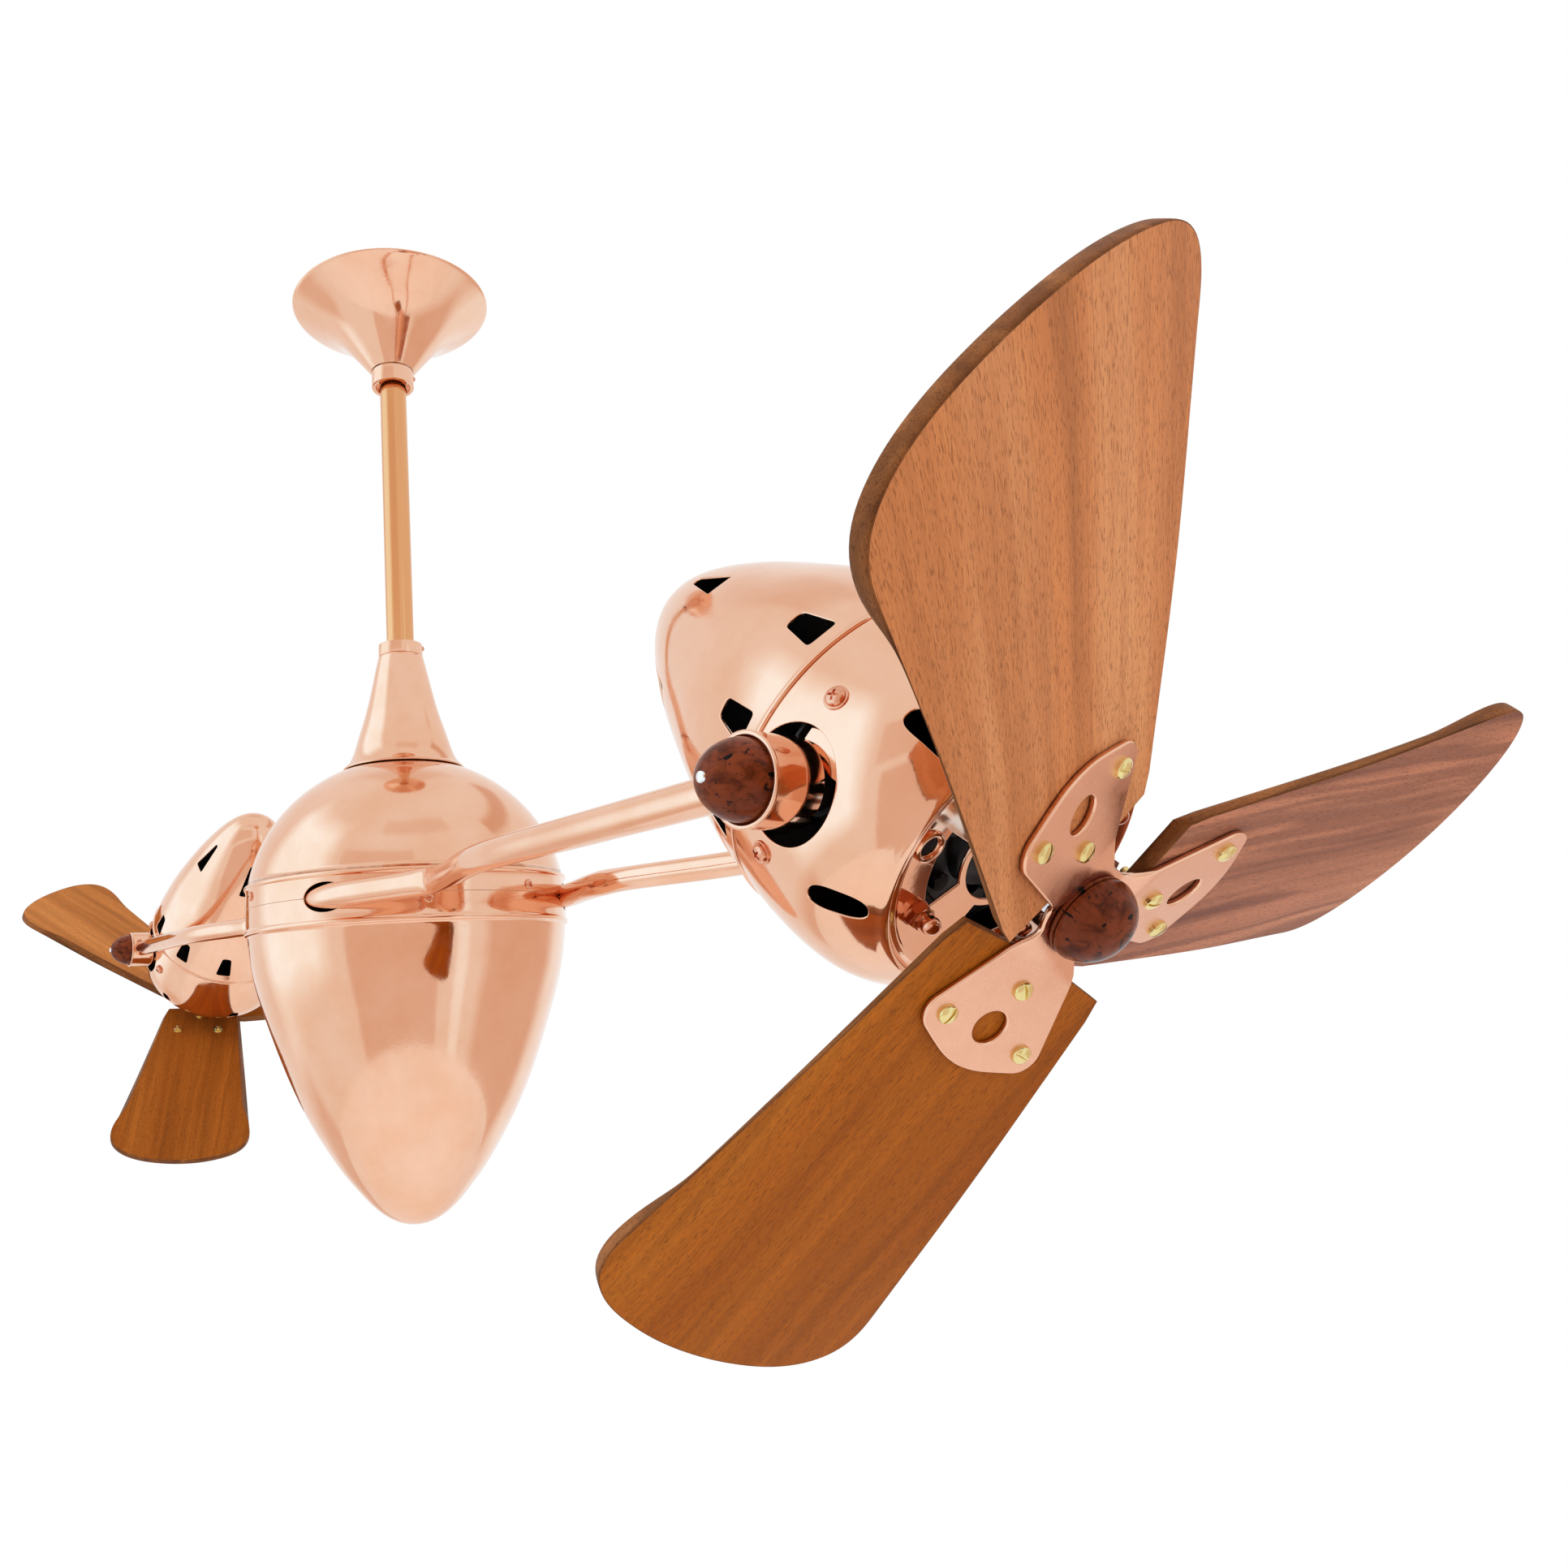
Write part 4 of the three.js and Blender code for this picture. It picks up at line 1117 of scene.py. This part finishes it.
def petalSide():
    # One side of a petal, from the hub's edge to the middle of the outer edge, at y < 0.
    foot, onSide = np.array(petal["foot"]), np.array(petal["sideFrom"])
    onHub = np.array([math.cos(math.radians(-52)), math.sin(math.radians(-52))]) * petal["hubRadius"]
    points = [(1 - t) ** 2 * onHub + 2 * t * (1 - t) * foot + t * t * onSide for t in np.linspace(0, 1, 9)]
    cornerX, cornerY = petal["screws"][2]
    arc = [np.array([cornerX + petal["cornerRadius"] * math.cos(math.radians(a)),
                     cornerY + petal["cornerRadius"] * math.sin(math.radians(a))])
           for a in np.linspace(-112, -22, 14)]
    run = [onSide + (arc[0] - onSide) * t for t in np.linspace(0, 1, 10)[1:-1]]
    tail = splineThrough([arc[-1], *petal["edge"]], 10)[1:]
    return np.vstack([points, run, arc, tail])


lowerSide = petalSide()
petalOutline = np.vstack([lowerSide, (lowerSide[:-1] * np.array([1, -1]))[::-1]])


def spiderShape(start):
    # The three petals and the hub between them, pressed from one sheet.
    border, holes = [], []
    turns = bladeTurns(start)
    for angle in turns:
        c, s = math.cos(angle), math.sin(angle)
        rotate = np.array([[c, -s], [s, c]])
        border.append(petalOutline @ rotate.T)
        holes.append(np.array(ringOutline(petal["holeRadius"], 44, (petal["holeAt"], 0))) @ rotate.T)
    # Petals run the other way round, because azimuths fall as turns grow.
    border = [border[0], border[2], border[1]]
    outline = []
    for k in range(3):
        following = border[(k + 1) % 3][0]
        end = math.atan2(border[k][-1][1], border[k][-1][0])
        gap = (math.atan2(following[1], following[0]) - end) % full
        outline += border[k].tolist()
        outline += [(petal["hubRadius"] * math.cos(end + gap * t), petal["hubRadius"] * math.sin(end + gap * t))
                    for t in np.linspace(0, 1, 8)[1:-1]]
    outline = np.array(outline)
    holes.append(np.array(ringOutline(petal["shaftHole"], 32)))
    flat = np.array([(x, y) for x in np.arange(-70, 70.1, 2.2) for y in np.arange(-70, 70.1, 2.2)])
    flat = flat + 0.01 * np.sin(flat[:, ::-1] * 7.1)

    def height(points):
        ahead = np.stack([points @ np.array([math.cos(t), math.sin(t)]) for t in turns], 1)
        aside = np.stack([points @ np.array([-math.sin(t), math.cos(t)]) for t in turns], 1)
        near = ahead.argmax(1)
        pick = np.arange(len(points))
        x, y = ahead[pick, near], aside[pick, near]
        ease = smoothStep((x - 10) / 15)
        lift = (rotor["faceHeight"] - rotor["hubHeight"]) * smoothStep((x - 9) / 12)
        return rotor["hubHeight"] + lift + ease * y * math.sin(pitch), near, x, y, ease

    def place(points):
        z, near, x, y, ease = height(points)
        d = 0.05
        slopeX = (height(points + [d, 0])[0] - height(points - [d, 0])[0]) / (2 * d)
        slopeY = (height(points + [0, d])[0] - height(points - [0, d])[0]) / (2 * d)
        normal = np.stack([-slopeX, -slopeY, np.ones(len(points))], 1)
        normal /= np.linalg.norm(normal, axis=1)[:, None]
        angle = np.array(turns)[near]
        narrow = y * (1 - ease * (1 - math.cos(pitch)))
        px = x * np.cos(angle) - narrow * np.sin(angle)
        py = x * np.sin(angle) + narrow * np.cos(angle)
        return np.stack([px, py, z], 1), normal

    return formedSheet(flat, holes, place, petal["sheet"], 0.45, 0.8, outline, 0.7)


# back: from the petal's face down to the plank's; camber: droop of the tip's corners;
# undercut: how much narrower the plank's back is than its face.
blade = {
    "plank": 6.0, "back": 2.8, "camber": 2.6, "undercut": 0.085, "edgeRadius": 0.55,
    "leading": [(24, -39.5), (33, -42.5), (120, -56.4), (184, -66.0)],
    "tip": [(184, -66.0), (196, -67.2), (206, -64.6), (214, -57.0), (220, -43), (224.0, -24), (225.4, -2),
            (223.8, 23), (219.6, 42.5), (212.4, 57), (203.8, 64.8), (194, 67.4), (183, 66.4)],
    "trailing": [(183, 66.4), (120, 55.4), (33, 40.7), (24, 38)],
    "root": [(24, 38), (21.5, 0), (24, -38)],
}


def bladeOutline():
    points = joinRuns(blade["leading"], splineThrough(blade["tip"], 70), blade["trailing"], blade["root"])[:-1]
    dense = []
    for a, b in zip(points, np.roll(points, -1, axis=0)):
        count = max(1, int(np.linalg.norm(b - a) / 4.0))
        dense += [a + (b - a) * t for t in np.arange(count) / count]
    dense = np.array(dense)
    # Drawn in by the edge's rounding, which adds it again.
    before, after = np.roll(dense, 1, axis=0), np.roll(dense, -1, axis=0)
    run = after - before
    outside = np.stack([run[:, 1], -run[:, 0]], 1)
    outside /= np.linalg.norm(outside, axis=1)[:, None]
    return dense - outside * blade["edgeRadius"]


def bladeShape():
    outline = bladeOutline()
    flat = np.array([(x, y) for x in np.arange(22, 226, 5.0) for y in np.arange(-66, 72, 5.0)])
    flat = flat + 0.02 * np.sin(flat[:, ::-1] * 3.7)

    def height(points):
        reach = smoothStep((points[:, 0] - 72) / 150)
        return -blade["back"] - blade["camber"] * reach * (points[:, 1] / 62) ** 2

    def place(points):
        d = 0.1
        slopeX = (height(points + [d, 0]) - height(points - [d, 0])) / (2 * d)
        slopeY = (height(points + [0, d]) - height(points - [0, d])) / (2 * d)
        normal = np.stack([-slopeX, -slopeY, np.ones(len(points))], 1)
        return (np.column_stack([points, height(points)]), normal / np.linalg.norm(normal, axis=1)[:, None])

    verts, faces, shades, kinds = formedSheet(flat, [], place, blade["plank"], blade["edgeRadius"], 0.3,
                                              outline, 1.4)
    # The long sides are cut back underneath.
    depth = np.clip((height(verts[:, :2]) - verts[:, 2]) / blade["plank"], 0, 1)
    verts[:, 1] *= 1 - blade["undercut"] * depth * (1 - smoothStep((verts[:, 0] - 150) / 40))
    return verts, faces, shades, kinds


bladeSolid = bladeShape()
ballHead = screwHead(3.8, 2.3, 1, 0.95, 1.1, 40)
backNut = hexNut(6.4, 2.8)
backWasher = turned(rounded([(1.5, 0), (4.6, 0), (4.6, 0.8), (1.5, 0.8)], 0.25), 36)
studEnd = turned(rounded([(0, 0), (1.7, 0), (1.7, 6.6), (0, 6.6)], 0.5), 20)
hub = {
    "cap": [(16.3, 84.3), (16.5, 85.4), (16.0, 87.4), (14.5, 90.5), (12.0, 93.5), (8.7, 95.8), (4.6, 97.2),
            (0, 97.7)],
    "ring": [(15.9, 81.7), (16.5, 83.5), (6, 83.5), (6, 81.7)],
    "shaft": [(0, 14), (5.6, 14), (5.6, 70.5), (13.5, 70.5), (13.5, 78.6), (5.6, 78.6), (5.6, 92), (0, 92)],
    "flange": [(0, 70.6), (24.25, 70.6), (24.25, 73.3), (0, 73.3)], "flangeScrewRadius": 19.2,
}
capLoop = joinRuns([(0, 92.4), (6.2, 92.4), (6.2, 83.9), (15.8, 83.9)], splineThrough(hub["cap"], 44, True))
capMesh = meshOf("hubCap", turned(capLoop, 96))
baseMesh = meshOf("capRing", turned(rounded(hub["ring"], 0.7), 96))
shaft = turned(rounded(hub["shaft"], 0.5), 48)
random = np.random.default_rng(7)  # how far each screw and nut is turned

for head in ("right", "left"):
    place = headPlace(head)
    body = f"{head}_rotor"
    start = rotor["start"][head]
    addPiece(f"{head}_petals", meshOf(f"{head}Petals", spiderShape(start)), (petalCopper, petalCopper, copper),
             body, place, [f"{head}_blade_spider"])
    addPiece(f"{head}_burl_ring", baseMesh, burls["hub"], body, place, [f"{head}_cap_ring"])
    addPiece(f"{head}_burl_cap", capMesh, burls["hub"], body, place, [f"{head}_hub_cap"])
    flange = moved(turned(hub["flange"], 6), turn("Z", upTurned(start + 30)))
    addPiece(f"{head}_shaft", meshOf(f"{head}Shaft", joined([shaft, flange])), nickel, body, place,
             [f"{head}_rotor_shaft"])
    flangeScrews = []
    for k in range(3):
        seat = turn("Z", upTurned(start - 90 + 120 * k)) @ shift(hub["flangeScrewRadius"], 0, 73.4)
        flangeScrews.append(moved(screwHead(2.9, 2.2, 1, 0.7, 0.8, 28), seat @ turn("Z", 40 * k)))
    addPiece(f"{head}_flange_screws", meshOf(f"{head}FlangeScrews", joined(flangeScrews)), screwCopper, body, place,
             ())
    bladeScrews = []
    for k in range(3):
        seat = shift(0, 0, rotor["faceHeight"]) @ turn("Z", upTurned(start + 120 * k)) @ turn("X", rotor["pitch"])
        # The grain's own coordinates lie along each blade, so a blade keeps its mesh in its own frame.
        mesh = meshOf(f"{head}Blade{k + 1}", bladeSolid)
        wood = bladeWood[head][k]
        # The plank's cut edges take the darker edge wood: painted shade.
        addPiece(f"{head}_plank_{k + 1}", mesh, (wood, wood, shadedEdgeWood), body, place @ seat,
                 [f"{head}_blade_{k + 1}"])
        for x, y in petal["screws"]:
            bladeScrews.append(moved(ballHead, seat @ shift(x, y, 0.1) @ turn("Z", float(random.uniform(0, 180)))))
            back = seat @ shift(x, y, -blade["back"] - blade["plank"]) @ turn("X", 180)
            nutSeat = back @ shift(0, 0, 0.8) @ turn("Z", float(random.uniform(0, 60)))
            bladeScrews += [moved(backWasher, back), moved(backNut, nutSeat), moved(studEnd, back)]
    addPiece(f"{head}_brass_screws", meshOf(f"{head}BrassScrews", joined(bladeScrews), 28), brass, body, place)

# The inner parts that stay as they came take worked finishes; the copper ones take the darker inside copper, painted
# shade.
keptFinishes = {"steel": steel, "black_plastic": plasticBlack, "copper": shadedInnerCopper, "black_paint": motorBlack}
slotOf = {part["node"]: part["material_slot"] for part in frame["record"]["subparts"]}
for node, item in frame["nodes"].items():
    if item.hide_render:
        continue
    item.data.materials.clear()
    item.data.materials.append(keptFinishes[slotOf[node]])
    item.data.shade_smooth()
    item.data.set_sharp_from_angle(angle=math.radians(35))


print("studio")
studio = {"floorDepth": 2.35, "floorRadius": 2.05, "strength": 0.94, "warmth": (0.35, 0.90, 1.25)}  # metres
floorMesh = bpy.data.meshes.new("studioFloor")
floorEdge = [(x, y, 0) for x, y in ringOutline(studio["floorRadius"], 96)]
floorMesh.from_pydata(floorEdge, [], [list(range(96))])
floor = bpy.data.objects.new("studio_floor", floorMesh)
bpy.context.scene.collection.objects.link(floor)
floor.location = (0, 0, -studio["floorDepth"])
floorLook, nodes, links, shader = newFinish("paleFloor")
cloud = noiseAt(nodes, links, objectSpace(nodes, links), 3, 3)
links.new(ramp(nodes, links, cloud, [(0.3, grey(0.86)), (0.7, grey(0.90))]), shader.inputs["Base Color"])
shader.inputs["Roughness"].default_value = 0.85
floorMesh.materials.append(floorLook)

world = bpy.data.worlds.new("studioTent")
bpy.context.scene.world = world
world.use_nodes = True
nodes, links = world.node_tree.nodes, world.node_tree.links
nodes.clear()
output = nodes.new("ShaderNodeOutputWorld")
tent = nodes.new("ShaderNodeBackground")
plain = nodes.new("ShaderNodeBackground")
plain.inputs["Color"].default_value = (1, 1, 1, 1)
choose = nodes.new("ShaderNodeMixShader")
rays = nodes.new("ShaderNodeLightPath")
links.new(rays.outputs["Is Camera Ray"], choose.inputs["Fac"])
links.new(tent.outputs[0], choose.inputs[1])
links.new(plain.outputs[0], choose.inputs[2])
links.new(choose.outputs[0], output.inputs["Surface"])

# The white tent that the polished metal sees, with soft panels that are darker or brighter than it.
# aim: (azimuth, elevation) of the middle; size: half of its width and height; soft: of its edge; all in degrees.
panels = {
    "key": dict(aim=(333, 16), size=(36, 42), soft=14, tone=1.7),
    "roomLeft": dict(aim=(53, -26), size=(35, 31), soft=2.5, tone=0.70),
    "roomArch": dict(aim=(42, 24), size=(30, 15), soft=2.5, tone=0.78),
    "strip": dict(aim=(104, -14), size=(6, 34), soft=3, tone=1.3),
    "roomRight": dict(aim=(156, -21), size=(38, 26), soft=9, tone=0.66),
    "paleBack": dict(aim=(212, -10), size=(20, 26), soft=8, tone=1.2),
    "highFront": dict(aim=(76, 57), size=(36, 8), soft=4, tone=0.82),
    "highBack": dict(aim=(180, 45), size=(34, 7), soft=4, tone=0.60),
    "lowLeft": dict(aim=(284, -34), size=(32, 13), soft=9, tone=0.72),
    "overhead": dict(aim=(245, 62), size=(30, 14), soft=10, tone=0.80),
}
where = nodes.new("ShaderNodeTexCoord")
split = nodes.new("ShaderNodeSeparateXYZ")
links.new(where.outputs["Generated"], split.inputs[0])


def worldMath(operation, *values, clamp=False):
    return mathOn(nodes, links, operation, *values, clamp=clamp)


turnedBy = worldMath("ARCTAN2", split.outputs["X"], worldMath("MULTIPLY", split.outputs["Y"], -1.0))
risen = worldMath("ARCSINE", split.outputs["Z"])
tone = None
for panel in panels.values():
    aim, size = panel["aim"], panel["size"]
    off = worldMath("SUBTRACT", turnedBy, math.radians(aim[0]))
    off = worldMath("SINE", worldMath("MULTIPLY", off, 0.5))
    off = worldMath("MULTIPLY", worldMath("ABSOLUTE", off), 2.0)
    sharpness = 1 / math.radians(panel["soft"])
    halfWidth = 2 * math.sin(math.radians(size[0]) / 2)
    across = worldMath("MULTIPLY", worldMath("SUBTRACT", halfWidth, off), sharpness, clamp=True)
    rise = worldMath("ABSOLUTE", worldMath("SUBTRACT", risen, math.radians(aim[1])))
    upright = worldMath("SUBTRACT", math.radians(size[1]), rise)
    upright = worldMath("MULTIPLY", upright, sharpness, clamp=True)
    inside = worldMath("MULTIPLY", across, upright)
    factor = worldMath("SUBTRACT", 1.0, worldMath("MULTIPLY", inside, 1 - panel["tone"]))
    tone = factor if tone is None else worldMath("MULTIPLY", tone, factor)
# Bright panels lean to white and dim ones to rose, as they do in polished metal.
warmth = nodes.new("ShaderNodeCombineColor")
for socket, power in zip(warmth.inputs, studio["warmth"]):
    links.new(worldMath("POWER", tone, power), socket)
links.new(warmth.outputs["Color"], tent.inputs["Color"])
tent.inputs["Strength"].default_value = studio["strength"]


def softbox(name, azimuth, elevation, distance, width, height, power):
    # Lights the wood without showing in the metal.
    light = bpy.data.lights.new(name, "AREA")
    light.shape, light.size, light.size_y, light.energy = "RECTANGLE", width, height, power
    item = bpy.data.objects.new(name, light)
    bpy.context.scene.collection.objects.link(item)
    a, e = math.radians(azimuth), math.radians(elevation)
    away = Vector((math.sin(a) * math.cos(e), -math.cos(a) * math.cos(e), math.sin(e)))
    item.visible_glossy = False
    item.location = Vector((0, 0, -0.45)) + away * distance
    item.rotation_mode = "QUATERNION"
    item.rotation_quaternion = away.to_track_quat("Z", "Y")


softbox("keySoftbox", 20, 38, 2.6, 1.5, 1.1, 26)
softbox("fillSoftbox", 112, 12, 3.0, 1.2, 1.8, 14)
softbox("topSoftbox", 250, 62, 2.8, 1.6, 1.2, 16)

view = {"sensor": 36.0, "lens": 26.446, "shift": (0.1493, -0.0057), "nearest": 0.02, "furthest": 60,
        "at": (0.79604, -0.37142), "belowSeam": 0.07226, "heading": 147.6456, "rise": 10.8656, "roll": -3.045}
lens = bpy.data.cameras.new("studioCamera")
lens.sensor_width, lens.lens = view["sensor"], view["lens"]
lens.shift_x, lens.shift_y = view["shift"]
lens.clip_start, lens.clip_end = view["nearest"], view["furthest"]
camera = bpy.data.objects.new("studio_camera", lens)
bpy.context.scene.collection.objects.link(camera)
camera.location = (*view["at"], seamHeight * mm - view["belowSeam"])
heading, rise, roll = (math.radians(view[name]) for name in ("heading", "rise", "roll"))
ahead = Vector((math.cos(heading) * math.cos(rise), math.sin(heading) * math.cos(rise), math.sin(rise)))
aimed = ahead.to_track_quat("-Z", "Y").to_matrix() @ Matrix.Rotation(roll, 3, "Z")
camera.rotation_mode = "QUATERNION"
camera.rotation_quaternion = aimed.to_quaternion()
bpy.context.scene.camera = camera
bpy.context.scene.view_settings.view_transform = "Standard"
bpy.context.scene.view_settings.look = "None"

print("done")
